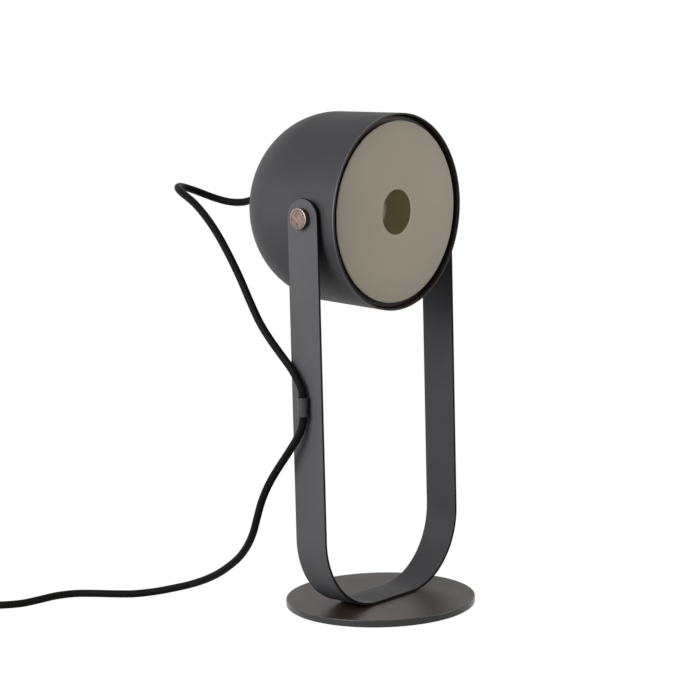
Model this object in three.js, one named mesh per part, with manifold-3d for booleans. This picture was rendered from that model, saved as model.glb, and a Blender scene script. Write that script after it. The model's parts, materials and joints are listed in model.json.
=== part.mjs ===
// A table lamp: a drum-shaped head with a domed back, held between the arms of a bent steel strap.
// The strap stands on a round base plate, and a thumb screw at each side clamps the head's tilt.
// Millimetres, +Z up. The origin is the centre of the base's underside, and the head faces -Y.
import * as THREE from 'three';
import { mergeVertices } from 'three/addons/utils/BufferGeometryUtils.js';
import Module from 'manifold-3d';

const wasm = await Module();
wasm.setup();

// Fits
const fitGap = 0.3;          // clearance between two pieces that touch or fit in each other
const cutOverrun = 1;        // how far a cutter runs past the face that it cuts

// Base
const baseRadius = 75;
const basePlateThickness = 5;
const baseEdgeChamfer = 0.6;
const padThickness = 0.8;
const padInset = 1.5;        // the pad's edge lies this far inside the plate's edge
const studRadius = 2.5;
const studLength = 4.6;
const studSpread = 13;       // each weld stud's distance from the middle of the strap
const baseNutAcrossFlats = 8;
const baseNutHeight = 2.4;
const counterboreRadius = 6;
const counterboreDepth = 3;

// Strap bracket
const strapWidth = 30;
const strapThickness = 2;
const strapInsideHalfWidth = 78.5;
const strapBendRadius = 58;  // inside of each bottom bend
const pivotHeight = 313;     // above the ground
const pivotHoleRadius = 3.3;

// Cord guide on the left arm
const guideRadius = 4.5;
const guideBoreRadius = 3.35;
const guideLength = 14.5;
const guideChamfer = 0.5;
const guideHeight = 170.4;   // middle of the guide, above the ground
const guideFootWidth = 6;
const guidePegRadius = 2;
const guideScrewRadius = 1.1;
const guideScrewLength = 2.6;
const guideScrewHeadRound = 0.8;
const guideScrewHeadRadius = 3;
const guideScrewHeadHeight = 1.4;

// Pivot hardware
const spacerRadius = 7;
const knobRadius = 8;
const knobThickness = 4.5;
const knobChamfer = 0.5;
const knobDishRadius = 6.6;
const knobDishDepth = 0.25;
const pivotStudRadius = 3;
const pivotStudEnd = 67;     // where each stud ends, from the lamp's middle
const pivotNutAcrossFlats = 10;
const pivotNutHeight = 5;

// Shade: s runs forward from the pivot along the head's axis
const headTiltDegrees = 2;   // the front leans down at rest
const mouthRadius = 76;
const mouthForward = 27.5;
const equatorRadius = 74.5;
const equatorBack = 34.5;    // where the straight side meets the dome, behind the pivot
const domeLength = 65;
const shadeWall = 1.5;
const rearSeatRadius = 11;   // small pressed flat at the middle of the dome

// Ledge ring behind the diffuser
const ringFrontForward = 22.2;
const ringSheet = 1;
const ringDepth = 10;
const ringInnerRadius = 68;

// Diffuser
const diffuserRadius = 70.5;
const diffuserThickness = 3;
const diffuserRecess = 2;    // its face lies this far behind the shade's rim
const diffuserEdgeRound = 1.1;
const fingerHoleRadius = 17.5;
const fingerHoleRound = 1.2;
const clipLegInner = 66.1;
const clipLegThickness = 1.2;
const clipLegWidth = 9;
const clipHookReach = 2;
const clipHookHeight = 2.4;
const clipCount = 3;
const clipPhaseShare = 0.25; // where the first leg stands, as a share of the step between legs

// Rear entry: nipple, locknut and strain relief
const nippleRadius = 5;
const nippleBoreRadius = 3.6;
const nippleInside = 15;     // reach in front of the shade's rear seat
const nippleOutside = 8;     // reach behind it
const leadTail = 2;          // cord that stands out of the nipple, inside the lampholder
const locknutAcrossFlats = 14;
const locknutHeight = 3;
const reliefFlangeRadius = 10;
const reliefFlangeHeight = 3;
const reliefFlangeRound = 1;
const reliefNeckRadius = 7.4;
const reliefShoulderRadius = 6.6;
const reliefTipRadius = 4.4;
const reliefEnd = 121.5;     // tip of the strain relief, behind the pivot
const reliefNutReach = 1;    // how far the neck's bore runs past the nipple
const reliefGrooveDepth = 0.9;
const reliefGrooveCount = 4;

// Lampholder
const holderCapRadius = 13.5;
const holderCapRound = 4;
const holderCapWall = 2.2;
const holderCapLength = 15.4;
const holderBodyRadius = 14;
const holderBodyLength = 30.4;
const holderBodyRound = 0.8;
const holderBoreRadius = 8.6;
const holderBoreDepth = 23.7;
const holderShellThickness = 0.9;
const holderShellLength = 20;
const contactRadius = 3;
const contactThickness = 0.6;

// Bulb
const bulbRadius = 22.5;
const bulbTipForward = 8.2;
const bulbNeckRadius = 8.2;
const bulbNeckBack = 44.6;   // where the glass ends, behind the pivot
const bulbCapRadius = 6.9;
const bulbCapLength = 17.2;
const bulbInsulatorRadius = 3.4;
const bulbContactRadius = 2.3;
const bulbContactHeight = 2.6;
const bulbInsulatorHeight = 5;
const bulbContactRound = 0.8;

// Cord
const cordRadius = 3;
const coilPitch = 6.6;       // step between turns and between layers
const coilRadius = 39.6;     // first turn
const coilLift = 1.2;        // room for the tie beneath the coil
const fullTurn = 360;
const coilEndDegrees = 1640; // whole wind, in and out
const coilClimbDegrees = 180; // the climb to the upper layer, spread about the reversal
const tieDegrees = 270;      // where the tie sits on the first turn
const tieWidth = 10;
const tieThickness = 0.8;
const tieGap = 0.35;
const tieRound = 1.5;

// Put-away end of the cord, past the left of the lamp
const storageX = -252;
const storageY = 240;
const storageTurnDegrees = -130.25;
const coilAlong = 100;       // the coil's middle, along the switch's axis from its entry
const plugLead = 28;         // from the coil to the plug

// Inline switch
const switchLength = 60;
const switchHalfWidth = 13;
const switchEndHalfWidth = 5.5;
const switchShoulder = 9;    // length of the taper at each end
const switchHeight = 17;
const switchSeam = 7.5;      // height of the joint between the shells
const switchEdgeRound = 2;
const switchCornerRound = 5;
const rockerHalfLength = 11;
const rockerHalfWidth = 5.6;
const rockerPivotHeight = 13.4;
const rockerEndRise = 3.8;
const rockerMiddleRise = 1.9;
const rockerEndDrop = 0.5;
const rockerBellyDrop = 3;
const rockerBellyHalfLength = 3;
const rockerTravelDegrees = 8;
const rockerPinRadius = 1.2;
const rockerPinReach = 1.4;
const pocketHalfLength = 12;
const pocketHalfWidth = 6.1;
const pocketFloor = 9.4;
const switchScrewAlong = 17;
const switchScrewAside = 8;
const switchScrewRadius = 1.3;
const switchScrewHeadRadius = 2.4;
const switchScrewHeadHeight = 1.6;
const switchScrewTop = 12;

// Plug
const plugHalfWidth = 17.6;
const plugRearHalfWidth = 8;
const plugShoulder = 14;
const plugLength = 36;
const plugThickness = 13.7;
const plugEdgeRound = 2.2;
const plugCornerRound = 5;
const plugSleeveLength = 20;
const plugSleeveRadius = 5.6;
const plugSleeveTipRadius = 4.2;
const plugSleeveGrooves = 4;
const plugSleeveGrooveDepth = 0.8;
const pinRadius = 2;
const pinSleeveThinning = 0.15;
const pinLength = 19;
const pinSleeveLength = 10;
const pinEmbed = 6;
const pinSpread = 9.3;       // each pin's distance from the plug's middle
const pinTipRound = 1.5;

// Roundness
const shadeSides = 56;
const baseSides = 72;
const roundSides = 28;
const smallSides = 16;
const cordSides = 8;
const coilSides = 6;
const coilSteps = 24;        // to a turn
const domeSteps = 9;
const globeSteps = 10;
const headRunSteps = 24;
const mainRunSteps = 34;
const leadSteps = 4;
const bendSteps = 8;
const filletSteps = 2;       // to a right angle

// Places that follow from the sizes above
const baseTop = padThickness + basePlateThickness;
const strapOutsideHalfWidth = strapInsideHalfWidth + strapThickness;
const guideAxisX = -(strapOutsideHalfWidth + guideRadius);
const rearSeatBack = equatorBack
  + domeLength * Math.sqrt(1 - (rearSeatRadius / equatorRadius) ** 2);
const rearInsideBack = rearSeatBack - shadeWall;
const locknutFront = rearInsideBack - fitGap - locknutHeight;
const holderCapRear = locknutFront - fitGap;
const holderCapFront = holderCapRear - holderCapLength;
const holderBodyRear = holderCapFront - fitGap;
const holderBodyFront = holderBodyRear - holderBodyLength;
const holderFloor = holderBodyFront + holderBoreDepth;
const diffuserFront = mouthForward - diffuserRecess;
const diffuserBack = diffuserFront - diffuserThickness;
const bulbCapFront = bulbNeckBack + fitGap;
const coilLayerLow = coilLift + cordRadius;

// Materials
function finish(color, roughness, metalness) {
  return new THREE.MeshStandardMaterial({ color, roughness, metalness });
}
const anthracitePaint = finish(0x4b4c50, 0.62, 0.2);
const strapPaint = finish(0x58585b, 0.55, 0.35);
const basePaint = finish(0x5f5652, 0.6, 0.3);
const agedBrass = finish(0x8f8672, 0.38, 0.9);
const zincSteel = finish(0x9a9a98, 0.4, 0.9);
const brass = finish(0xb59a55, 0.35, 1);
const opalPlastic = finish(0x948a7c, 0.5, 0);
const opalGlass = finish(0xd8d0c0, 0.3, 0);
const blackPlastic = finish(0x1c1c1d, 0.5, 0);
const nylon = finish(0x2a2a2b, 0.45, 0);
const blackTextile = finish(0x141415, 0.9, 0);
const rubber = finish(0x222222, 0.9, 0);

// Outline with rounded corners, from corners given as [across, along, fillet radius]
function roundedOutline(corners, stepsPerQuarter = filletSteps) {
  const points = [];
  corners.forEach(([x, y, radius = 0], i) => {
    const corner = new THREE.Vector2(x, y);
    if (radius <= 0) {
      points.push(corner);
      return;
    }
    const before = corners[(i + corners.length - 1) % corners.length];
    const after = corners[(i + 1) % corners.length];
    const back = new THREE.Vector2(before[0], before[1]).sub(corner);
    const ahead = new THREE.Vector2(after[0], after[1]).sub(corner);
    const room = Math.min(back.length(), ahead.length()) / 2;
    back.normalize();
    ahead.normalize();
    const half = Math.acos(THREE.MathUtils.clamp(back.dot(ahead), -1, 1)) / 2;
    const run = Math.min(radius / Math.tan(half), room);
    const reach = run * Math.tan(half);
    const centre = back.clone().add(ahead).normalize()
      .multiplyScalar(reach / Math.sin(half)).add(corner);
    const from = corner.clone().addScaledVector(back, run).sub(centre);
    const to = corner.clone().addScaledVector(ahead, run).sub(centre);
    const turn = Math.atan2(from.cross(to), from.dot(to));
    const steps = Math.max(2, Math.round(stepsPerQuarter * Math.abs(turn) * 2 / Math.PI));
    for (let k = 0; k <= steps; k++) {
      points.push(from.clone().rotateAround(new THREE.Vector2(), turn * k / steps).add(centre));
    }
  });
  return points;
}

// The same geometry with shared vertices merged and flat triangles left out
function welded(geometry) {
  const plain = geometry.clone();
  plain.deleteAttribute('normal');
  plain.deleteAttribute('uv');
  const merged = mergeVertices(plain);
  const old = merged.index.array;
  const kept = [];
  for (let i = 0; i < old.length; i += 3) {
    const [a, b, c] = [old[i], old[i + 1], old[i + 2]];
    if (a !== b && b !== c && c !== a) {
      kept.push(a, b, c);
    }
  }
  merged.setIndex(kept);
  return merged;
}

function toSolid(geometry) {
  const closed = welded(geometry);
  return new wasm.Manifold(new wasm.Mesh({
    numProp: 3,
    vertProperties: closed.attributes.position.array,
    triVerts: new Uint32Array(closed.index.array),
  }));
}

function toGeometry(solid) {
  const mesh = solid.getMesh();
  const geometry = new THREE.BufferGeometry();
  geometry.setAttribute('position', new THREE.BufferAttribute(mesh.vertProperties, 3));
  geometry.setIndex(new THREE.BufferAttribute(mesh.triVerts, 1));
  return geometry;
}

function cut(geometry, ...tools) {
  return toGeometry(tools.reduce((solid, tool) => solid.subtract(toSolid(tool)), toSolid(geometry)));
}

function join(geometry, ...others) {
  return toGeometry(others.reduce((solid, other) => solid.add(toSolid(other)), toSolid(geometry)));
}

function common(geometry, other) {
  return toGeometry(toSolid(geometry).intersect(toSolid(other)));
}

// A closed profile of [radius, along, fillet] corners, turned about the Y axis.
// It runs anticlockwise, so that the faces point out.
function turned(corners, sides, closedOnAxis = false) {
  const points = roundedOutline(corners);
  if (!closedOnAxis) {
    points.push(points[0].clone());
  }
  return new THREE.LatheGeometry(points, sides);
}

function alongZ(geometry) {
  return geometry.rotateX(Math.PI / 2);
}

// A plain cylinder about an axis, middle at the origin
function rod(axis, radius, length, sides = smallSides) {
  const geometry = new THREE.CylinderGeometry(radius, radius, length, sides);
  if (axis === 'x') {
    geometry.rotateZ(-Math.PI / 2);
  }
  if (axis === 'z') {
    geometry.rotateX(Math.PI / 2);
  }
  return geometry;
}

const axes = {
  x: [new THREE.Vector3(0, 1, 0), new THREE.Vector3(0, 0, 1), new THREE.Vector3(1, 0, 0)],
  y: [new THREE.Vector3(1, 0, 0), new THREE.Vector3(0, 0, 1), new THREE.Vector3(0, -1, 0)],
  z: [new THREE.Vector3(1, 0, 0), new THREE.Vector3(0, 1, 0), new THREE.Vector3(0, 0, 1)],
};

// An outline carried along an axis, middle at the origin: along x it is drawn in Y and Z, along y in X and Z
function extruded(axis, outline, length, holes = []) {
  const shape = new THREE.Shape(outline);
  holes.forEach((hole) => shape.holes.push(new THREE.Path(hole)));
  const geometry = new THREE.ExtrudeGeometry(shape, { depth: length, bevelEnabled: false });
  geometry.translate(0, 0, -length / 2);
  return geometry.applyMatrix4(new THREE.Matrix4().makeBasis(...axes[axis]));
}

// An outline raised from the ground with its edges rounded
function pebble(outline, height, round) {
  const geometry = new THREE.ExtrudeGeometry(new THREE.Shape(outline), {
    depth: height - 2 * round,
    bevelThickness: round,
    bevelSize: round,
    bevelOffset: -round,
    bevelSegments: filletSteps,
  });
  return geometry.translate(0, 0, round);
}

function circlePoints(radius, sides) {
  return Array.from({ length: sides }, (_, i) => {
    const angle = 2 * Math.PI * i / sides;
    return new THREE.Vector2(radius * Math.cos(angle), radius * Math.sin(angle));
  });
}

// A hexagonal nut about an axis, middle at the origin
function hexNut(axis, acrossFlats, boreRadius, height) {
  const corner = acrossFlats / 2 / Math.cos(Math.PI / 6);
  return extruded(axis, circlePoints(corner, 6), height, [circlePoints(boreRadius, smallSides)]);
}

function piece(parent, name, geometry, material, place = [0, 0, 0]) {
  const mesh = new THREE.Mesh(welded(geometry), material);
  mesh.name = name;
  mesh.position.set(...place);
  parent.add(mesh);
  return mesh;
}

const lamp = new THREE.Group();

const head = new THREE.Group();
head.position.z = pivotHeight;
head.rotation.x = THREE.MathUtils.degToRad(headTiltDegrees);
lamp.add(head);

const storage = new THREE.Group();
storage.position.set(storageX, storageY, 0);
storage.rotation.z = THREE.MathUtils.degToRad(storageTurnDegrees);
lamp.add(storage);

const plug = new THREE.Group();
storage.add(plug);

const sides = [['left', -1], ['right', 1]];

// Base: a steel disc on a thin pad, bored from beneath for the strap's weld studs and their nuts
function makeBase() {
  const disc = alongZ(turned([
    [0, 0],
    [baseRadius - baseEdgeChamfer / 2, 0],
    [baseRadius, baseEdgeChamfer / 2],
    [baseRadius, basePlateThickness - baseEdgeChamfer],
    [baseRadius - baseEdgeChamfer, basePlateThickness],
    [0, basePlateThickness],
  ], baseSides, true));
  const cutters = [];
  for (const side of [-1, 1]) {
    const hole = rod('z', studRadius + fitGap, basePlateThickness + 2 * cutOverrun);
    const counterbore = rod('z', counterboreRadius, counterboreDepth + cutOverrun);
    cutters.push(hole.translate(side * studSpread, 0, basePlateThickness / 2));
    cutters.push(counterbore.translate(side * studSpread, 0, (counterboreDepth - cutOverrun) / 2));
  }
  piece(lamp, 'base_plate', cut(disc, ...cutters), basePaint, [0, 0, padThickness]);
  const pad = rod('z', baseRadius - padInset, padThickness, baseSides);
  piece(lamp, 'base_pad', pad, rubber, [0, 0, padThickness / 2]);
  for (const [name, side] of sides) {
    const x = side * studSpread;
    const nutMiddle = padThickness + counterboreDepth - fitGap - baseNutHeight / 2;
    const nut = hexNut('z', baseNutAcrossFlats, studRadius + fitGap, baseNutHeight);
    const stud = rod('z', studRadius, studLength);
    piece(lamp, 'base_nut_' + name, nut, zincSteel, [x, 0, nutMiddle]);
    piece(lamp, 'weld_stud_' + name, stud, zincSteel, [x, 0, baseTop - studLength / 2]);
  }
}

// Strap: one flat bar bent to a U, with half-round ends about the pivot
function makeBracket() {
  const inside = strapInsideHalfWidth;
  const outside = strapOutsideHalfWidth;
  const top = pivotHeight + strapWidth / 2;
  const outerBend = strapBendRadius + strapThickness;
  const bentBar = extruded('y', roundedOutline([
    [-outside, baseTop, outerBend],
    [outside, baseTop, outerBend],
    [outside, top],
    [inside, top],
    [inside, baseTop + strapThickness, strapBendRadius],
    [-inside, baseTop + strapThickness, strapBendRadius],
    [-inside, top],
    [-outside, top],
  ], bendSteps), strapWidth);
  const sideOutline = roundedOutline([
    [-strapWidth / 2, 0],
    [strapWidth / 2, 0],
    [strapWidth / 2, top, strapWidth / 2],
    [-strapWidth / 2, top, strapWidth / 2],
  ], bendSteps);
  const trimmed = common(bentBar, extruded('x', sideOutline, 2 * (outside + cutOverrun)));
  const pivotHoles = rod('x', pivotHoleRadius, 2 * (outside + cutOverrun));
  const pegHole = rod('x', guidePegRadius + fitGap, strapThickness + 2 * cutOverrun);
  piece(lamp, 'bracket', cut(
    trimmed,
    pivotHoles.translate(0, 0, pivotHeight),
    pegHole.translate(-(inside + strapThickness / 2), 0, guideHeight),
  ), strapPaint);
}

// Cord guide: a short moulded tube with a flat foot, whose peg passes through the left arm.
// A small screw in the peg holds it from inside.
function makeCordGuide() {
  const half = guideLength / 2;
  const tube = alongZ(turned([
    [0, -half],
    [guideRadius - guideChamfer, -half],
    [guideRadius, guideChamfer - half],
    [guideRadius, half - guideChamfer],
    [guideRadius - guideChamfer, half],
    [0, half],
  ], smallSides, true));
  const foot = new THREE.BoxGeometry(guideRadius, guideFootWidth, guideLength - 2 * guideChamfer);
  foot.translate(guideRadius / 2, 0, 0);
  const pegLength = strapThickness - fitGap;
  const peg = rod('x', guidePegRadius, pegLength + guideChamfer);
  peg.translate(guideRadius + (pegLength - guideChamfer) / 2, 0, 0);
  const bore = rod('z', guideBoreRadius, guideLength + 2 * cutOverrun);
  const screwEnd = guideRadius + strapThickness + fitGap - guideScrewLength;
  const pilotLength = guideRadius + pegLength + cutOverrun - (screwEnd - fitGap);
  const pilot = rod('x', guideScrewRadius + fitGap, pilotLength);
  pilot.translate(screwEnd - fitGap + pilotLength / 2, 0, 0);
  const body = cut(join(tube, foot, peg), bore, pilot);
  piece(lamp, 'cord_guide', body, blackPlastic, [guideAxisX, 0, guideHeight]);

  const screw = turned([
    [0, 0],
    [guideScrewRadius, 0],
    [guideScrewRadius, guideScrewLength],
    [guideScrewHeadRadius, guideScrewLength],
    [guideScrewHeadRadius, guideScrewLength + guideScrewHeadHeight, guideScrewHeadRound],
    [0, guideScrewLength + guideScrewHeadHeight],
  ], smallSides, true).rotateZ(-Math.PI / 2);
  piece(lamp, 'guide_screw', screw, zincSteel, [guideAxisX + screwEnd, 0, guideHeight]);
}

// Pivot at each side: a thumb screw through the arm, a nylon spacer, and a nut welded in the shade
function makePivots() {
  const studLength = strapOutsideHalfWidth + fitGap - pivotStudEnd;
  for (const [name, side] of sides) {
    const knob = turned([
      [0, -studLength],
      [pivotStudRadius - knobChamfer, -studLength],
      [pivotStudRadius, knobChamfer - studLength],
      [pivotStudRadius, 0],
      [knobRadius - knobChamfer / 2, 0],
      [knobRadius, knobChamfer / 2],
      [knobRadius, knobThickness - knobChamfer],
      [knobRadius - knobChamfer, knobThickness],
      [knobDishRadius, knobThickness],
      [knobDishRadius - knobDishDepth, knobThickness - knobDishDepth],
      [0, knobThickness - knobDishDepth],
    ], roundSides, true).rotateZ(-side * Math.PI / 2);
    const knobX = side * (strapOutsideHalfWidth + fitGap);
    piece(lamp, 'knob_' + name, knob, agedBrass, [knobX, 0, pivotHeight]);

    const spacerOutside = strapInsideHalfWidth - fitGap;
    const spacerInside = sideRadius(0) + fitGap;
    const washerEdge = circlePoints(spacerRadius, roundSides);
    const washerHole = circlePoints(pivotHoleRadius, smallSides);
    const spacer = extruded('x', washerEdge, spacerOutside - spacerInside, [washerHole]);
    const spacerX = side * (spacerOutside + spacerInside) / 2;
    piece(lamp, 'spacer_' + name, spacer, nylon, [spacerX, 0, pivotHeight]);

    const corner = pivotNutAcrossFlats / Math.sqrt(3);
    const nutFace = Math.sqrt((sideRadius(0) - shadeWall) ** 2 - corner ** 2) - fitGap;
    const nut = hexNut('x', pivotNutAcrossFlats, pivotStudRadius + fitGap, pivotNutHeight);
    piece(head, 'pivot_nut_' + name, nut, zincSteel, [side * (nutFace - pivotNutHeight / 2), 0, 0]);
  }
}

// Shade: spun sheet, a slightly flared side into a half-ellipse dome with a small flat at its middle.
// In the head's group Y runs back along the axis, so that a place s forward is at -s.
function sideRadius(forward) {
  return THREE.MathUtils.mapLinear(forward, -equatorBack, mouthForward, equatorRadius, mouthRadius);
}

function domeProfile(radius, length, seatBack) {
  const last = Math.asin((seatBack - equatorBack) / length);
  return Array.from({ length: domeSteps + 1 }, (_, i) => {
    const angle = last * i / domeSteps;
    return [radius * Math.cos(angle), equatorBack + length * Math.sin(angle)];
  });
}

function makeShade() {
  const holeRadius = nippleRadius + fitGap;
  const lip = shadeWall / 2;
  const shell = turned([
    [mouthRadius - shadeWall, -mouthForward, lip],
    [mouthRadius, -mouthForward, lip],
    ...domeProfile(equatorRadius, domeLength, rearSeatBack),
    [holeRadius, rearSeatBack],
    [holeRadius, rearInsideBack],
    ...domeProfile(equatorRadius - shadeWall, domeLength - shadeWall, rearInsideBack).reverse(),
  ], shadeSides);
  const pivotHoles = rod('x', pivotHoleRadius, 2 * (mouthRadius + cutOverrun));
  piece(head, 'shade', cut(shell, pivotHoles), anthracitePaint);
}

// Ledge ring: an L-section hoop pressed into the shade, which carries the diffuser
function makeDiffuserRing() {
  const outer = sideRadius(ringFrontForward - ringDepth) - shadeWall - fitGap;
  const ring = turned([
    [ringInnerRadius, -ringFrontForward],
    [outer, -ringFrontForward, ringSheet],
    [outer, ringDepth - ringFrontForward],
    [outer - ringSheet, ringDepth - ringFrontForward],
    [outer - ringSheet, ringSheet - ringFrontForward],
    [ringInnerRadius, ringSheet - ringFrontForward],
  ], shadeSides);
  piece(head, 'diffuser_ring', ring, anthracitePaint);
}

// Diffuser: an opal moulded disc with a finger hole, held by hooked legs behind the ledge ring
function makeDiffuser() {
  const disc = turned([
    [fingerHoleRadius, -diffuserFront, fingerHoleRound],
    [diffuserRadius, -diffuserFront, diffuserEdgeRound],
    [diffuserRadius, -diffuserBack],
    [fingerHoleRadius, -diffuserBack],
  ], shadeSides);
  const hookFront = ringSheet + fitGap - ringFrontForward;
  const hookBack = hookFront + clipHookHeight;
  const legOuter = clipLegInner + clipLegThickness;
  const legOutline = [
    [clipLegInner, -(diffuserBack + diffuserFront) / 2],
    [legOuter, -(diffuserBack + diffuserFront) / 2],
    [legOuter, hookFront],
    [legOuter + clipHookReach, hookFront],
    [legOuter, hookBack],
    [clipLegInner, hookBack],
  ].map(([r, y]) => new THREE.Vector2(r, y));
  const legs = Array.from({ length: clipCount }, (_, i) => (
    extruded('z', legOutline, clipLegWidth).rotateY(2 * Math.PI * (i + clipPhaseShare) / clipCount)
  ));
  piece(head, 'diffuser', join(disc, ...legs), opalPlastic);
}

// Grooved taper that lets a cord bend gently: ridges and grooves from one radius to the other
function groovedTaper(from, to, radiusFrom, radiusTo, grooves, depth) {
  const count = 2 * grooves + 1;
  const corners = [];
  for (let i = 0; i < count; i++) {
    const drop = i % 2 === 1 ? depth : 0;
    for (const end of [i, i + 1]) {
      const share = end / count;
      corners.push([
        THREE.MathUtils.lerp(radiusFrom, radiusTo, share) - drop,
        THREE.MathUtils.lerp(from, to, share),
      ]);
    }
  }
  return corners;
}

// Rear entry: a threaded nipple clamps shade and lampholder together, and carries the strain relief
function makeRearEntry() {
  const nippleFront = rearInsideBack - nippleInside;
  const nippleBack = rearSeatBack + nippleOutside;
  const nipple = turned([
    [nippleBoreRadius, nippleFront],
    [nippleRadius, nippleFront],
    [nippleRadius, nippleBack],
    [nippleBoreRadius, nippleBack],
  ], smallSides);
  piece(head, 'nipple', nipple, zincSteel);

  const locknut = hexNut('y', locknutAcrossFlats, nippleRadius + fitGap, locknutHeight);
  piece(head, 'nipple_locknut', locknut, zincSteel, [0, locknutFront + locknutHeight / 2, 0]);

  const flangeFront = rearSeatBack + fitGap;
  const flangeBack = flangeFront + reliefFlangeHeight;
  const neckEnd = nippleBack + reliefNutReach;
  const relief = turned([
    [nippleRadius + fitGap, flangeFront],
    [reliefFlangeRadius, flangeFront],
    [reliefFlangeRadius, flangeBack, reliefFlangeRound],
    [reliefNeckRadius, flangeBack],
    ...groovedTaper(
      neckEnd, reliefEnd, reliefShoulderRadius, reliefTipRadius, reliefGrooveCount, reliefGrooveDepth,
    ),
    [cordRadius + fitGap, reliefEnd],
    [cordRadius + fitGap, neckEnd],
    [nippleRadius + fitGap, neckEnd],
  ], smallSides);
  piece(head, 'strain_relief', relief, blackPlastic);

  const leadFront = nippleFront - leadTail;
  const lead = rod('y', cordRadius, reliefEnd - leadFront, smallSides);
  piece(head, 'inner_lead', lead, blackTextile, [0, (reliefEnd + leadFront) / 2, 0]);
}

// Lampholder for a small screw cap: cap, body, threaded shell and centre contact
function makeLampholder() {
  const threadHole = nippleRadius + fitGap;
  const cap = turned([
    [holderCapRadius - holderCapWall, holderCapFront],
    [holderCapRadius, holderCapFront],
    [holderCapRadius, holderCapRear, holderCapRound],
    [threadHole, holderCapRear],
    [threadHole, holderCapRear - holderCapWall],
    [holderCapRadius - holderCapWall, holderCapRear - holderCapWall, holderCapRound - holderCapWall],
  ], roundSides);
  piece(head, 'holder_cap', cap, blackPlastic);

  const body = turned([
    [0, holderFloor],
    [holderBoreRadius, holderFloor],
    [holderBoreRadius, holderBodyFront],
    [holderBodyRadius, holderBodyFront, holderBodyRound],
    [holderBodyRadius, holderBodyRear],
    [0, holderBodyRear],
  ], roundSides, true);
  piece(head, 'holder_body', body, blackPlastic);

  const shellOuter = holderBoreRadius - fitGap;
  const shellRear = holderFloor - fitGap;
  const shell = turned([
    [shellOuter - holderShellThickness, shellRear - holderShellLength],
    [shellOuter, shellRear - holderShellLength],
    [shellOuter, shellRear],
    [shellOuter - holderShellThickness, shellRear],
  ], roundSides);
  piece(head, 'holder_shell', shell, brass);

  const contact = rod('y', contactRadius, contactThickness);
  const contactMiddle = holderFloor - fitGap - contactThickness / 2;
  piece(head, 'holder_contact', contact, brass, [0, contactMiddle, 0]);
}

// Bulb: a small opal globe whose neck runs into its screw cap
function makeBulb() {
  const middle = bulbRadius - bulbTipForward;
  const lastAngle = Math.PI - Math.asin(bulbNeckRadius / bulbRadius);
  const sphere = Array.from({ length: globeSteps }, (_, i) => {
    const angle = lastAngle * (i + 1) / globeSteps;
    return [bulbRadius * Math.sin(angle), middle - bulbRadius * Math.cos(angle)];
  });
  const globe = turned([
    [0, -bulbTipForward],
    ...sphere,
    [bulbNeckRadius, bulbNeckBack],
    [0, bulbNeckBack],
  ], roundSides, true);
  piece(head, 'bulb_globe', globe, opalGlass);

  const capBack = bulbCapFront + bulbCapLength;
  const insulatorBack = capBack + bulbInsulatorHeight;
  const cap = turned([
    [0, bulbCapFront],
    [bulbCapRadius, bulbCapFront],
    [bulbCapRadius, capBack],
    [bulbInsulatorRadius, insulatorBack],
    [bulbContactRadius, insulatorBack],
    [bulbContactRadius, insulatorBack + bulbContactHeight, bulbContactRound],
    [0, insulatorBack + bulbContactHeight],
  ], smallSides, true);
  piece(head, 'bulb_cap', cap, zincSteel);
}

// A round cord along hand-chosen points
function cordAlong(points, steps, sectionSides = cordSides) {
  const knots = points.map((p) => new THREE.Vector3(...p));
  const path = new THREE.CatmullRomCurve3(knots, false, 'centripetal');
  return new THREE.ExtrudeGeometry(new THREE.Shape(circlePoints(cordRadius, sectionSides)), {
    steps,
    bevelEnabled: false,
    extrudePath: path,
  });
}

// Free stretch from the strain relief, round the back and down to the guide
const headRunPoints = [
  [0, 122.1, 317.2], [0.2, 127.6, 316.3], [0.3, 135.8, 314.3], [-1, 143.8, 313.6], [-4.6, 152.9, 314.7],
  [-11.4, 161, 318.1], [-25.9, 167.8, 324.7], [-40.3, 166.5, 328.6], [-52.3, 159.2, 329.1],
  [-60, 147.7, 326.2], [-63.4, 131.6, 319.3], [-65.7, 119.1, 311.6], [-67.9, 107.3, 302.5],
  [-70.1, 96.2, 292.2], [-72.5, 84, 278.8], [-75, 71.4, 263.2], [-78.1, 58.5, 246.1],
  [-80.5, 46.7, 231.1], [-82.5, 34.7, 219.4], [-84.5, 22.2, 209.2], [-85.7, 10.2, 198.6],
  [-85.4, 3.3, 189], [-85.1, 0.5, 182.2], [-85, 0, 178.5],
];

// Free stretch through the guide, down behind the base and along the table to the switch
const mainRunPoints = [
  [-85, 0, 178.1], [-85, 0, 163], [-85.8, 0.8, 155.6], [-87.8, 3.6, 147.6], [-91.2, 10.8, 135],
  [-93.7, 20.8, 120.8], [-94.1, 30.1, 107.7], [-93.3, 38.3, 94.1], [-91, 45.8, 80], [-87.5, 54, 66.3],
  [-84, 63.9, 54], [-81.2, 75.6, 42.8], [-79.2, 88.3, 33.7], [-78.3, 102.5, 24.9], [-78.5, 117, 17.8],
  [-80.8, 132, 12], [-86.1, 147.2, 7.5], [-95, 160.8, 4.4], [-105.6, 173, 3.1], [-114.3, 184.9, 3.1],
  [-122.9, 199, 3.1], [-132.8, 212.4, 3.1], [-146.6, 219.8, 3.1], [-163.3, 221.8, 3.1],
  [-179.4, 224.6, 3.1], [-191.6, 233, 3.1], [-201.6, 245.2, 3.1], [-211.2, 253, 3.2],
  [-222.6, 256.3, 4], [-235, 254.4, 5.7], [-245.8, 247.4, 7.2], [-251.8, 240.2, 7.5],
];

// The coil winds in on the table, climbs where it reverses, and winds out on top.
// At 0 degrees it runs along the switch's axis.
const coilMiddle = new THREE.Vector2(coilAlong, -coilRadius);

function coilRadiusAt(degrees) {
  const reverse = coilEndDegrees / 2;
  return coilRadius - coilPitch * (reverse - Math.abs(degrees - reverse)) / fullTurn;
}

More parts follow.
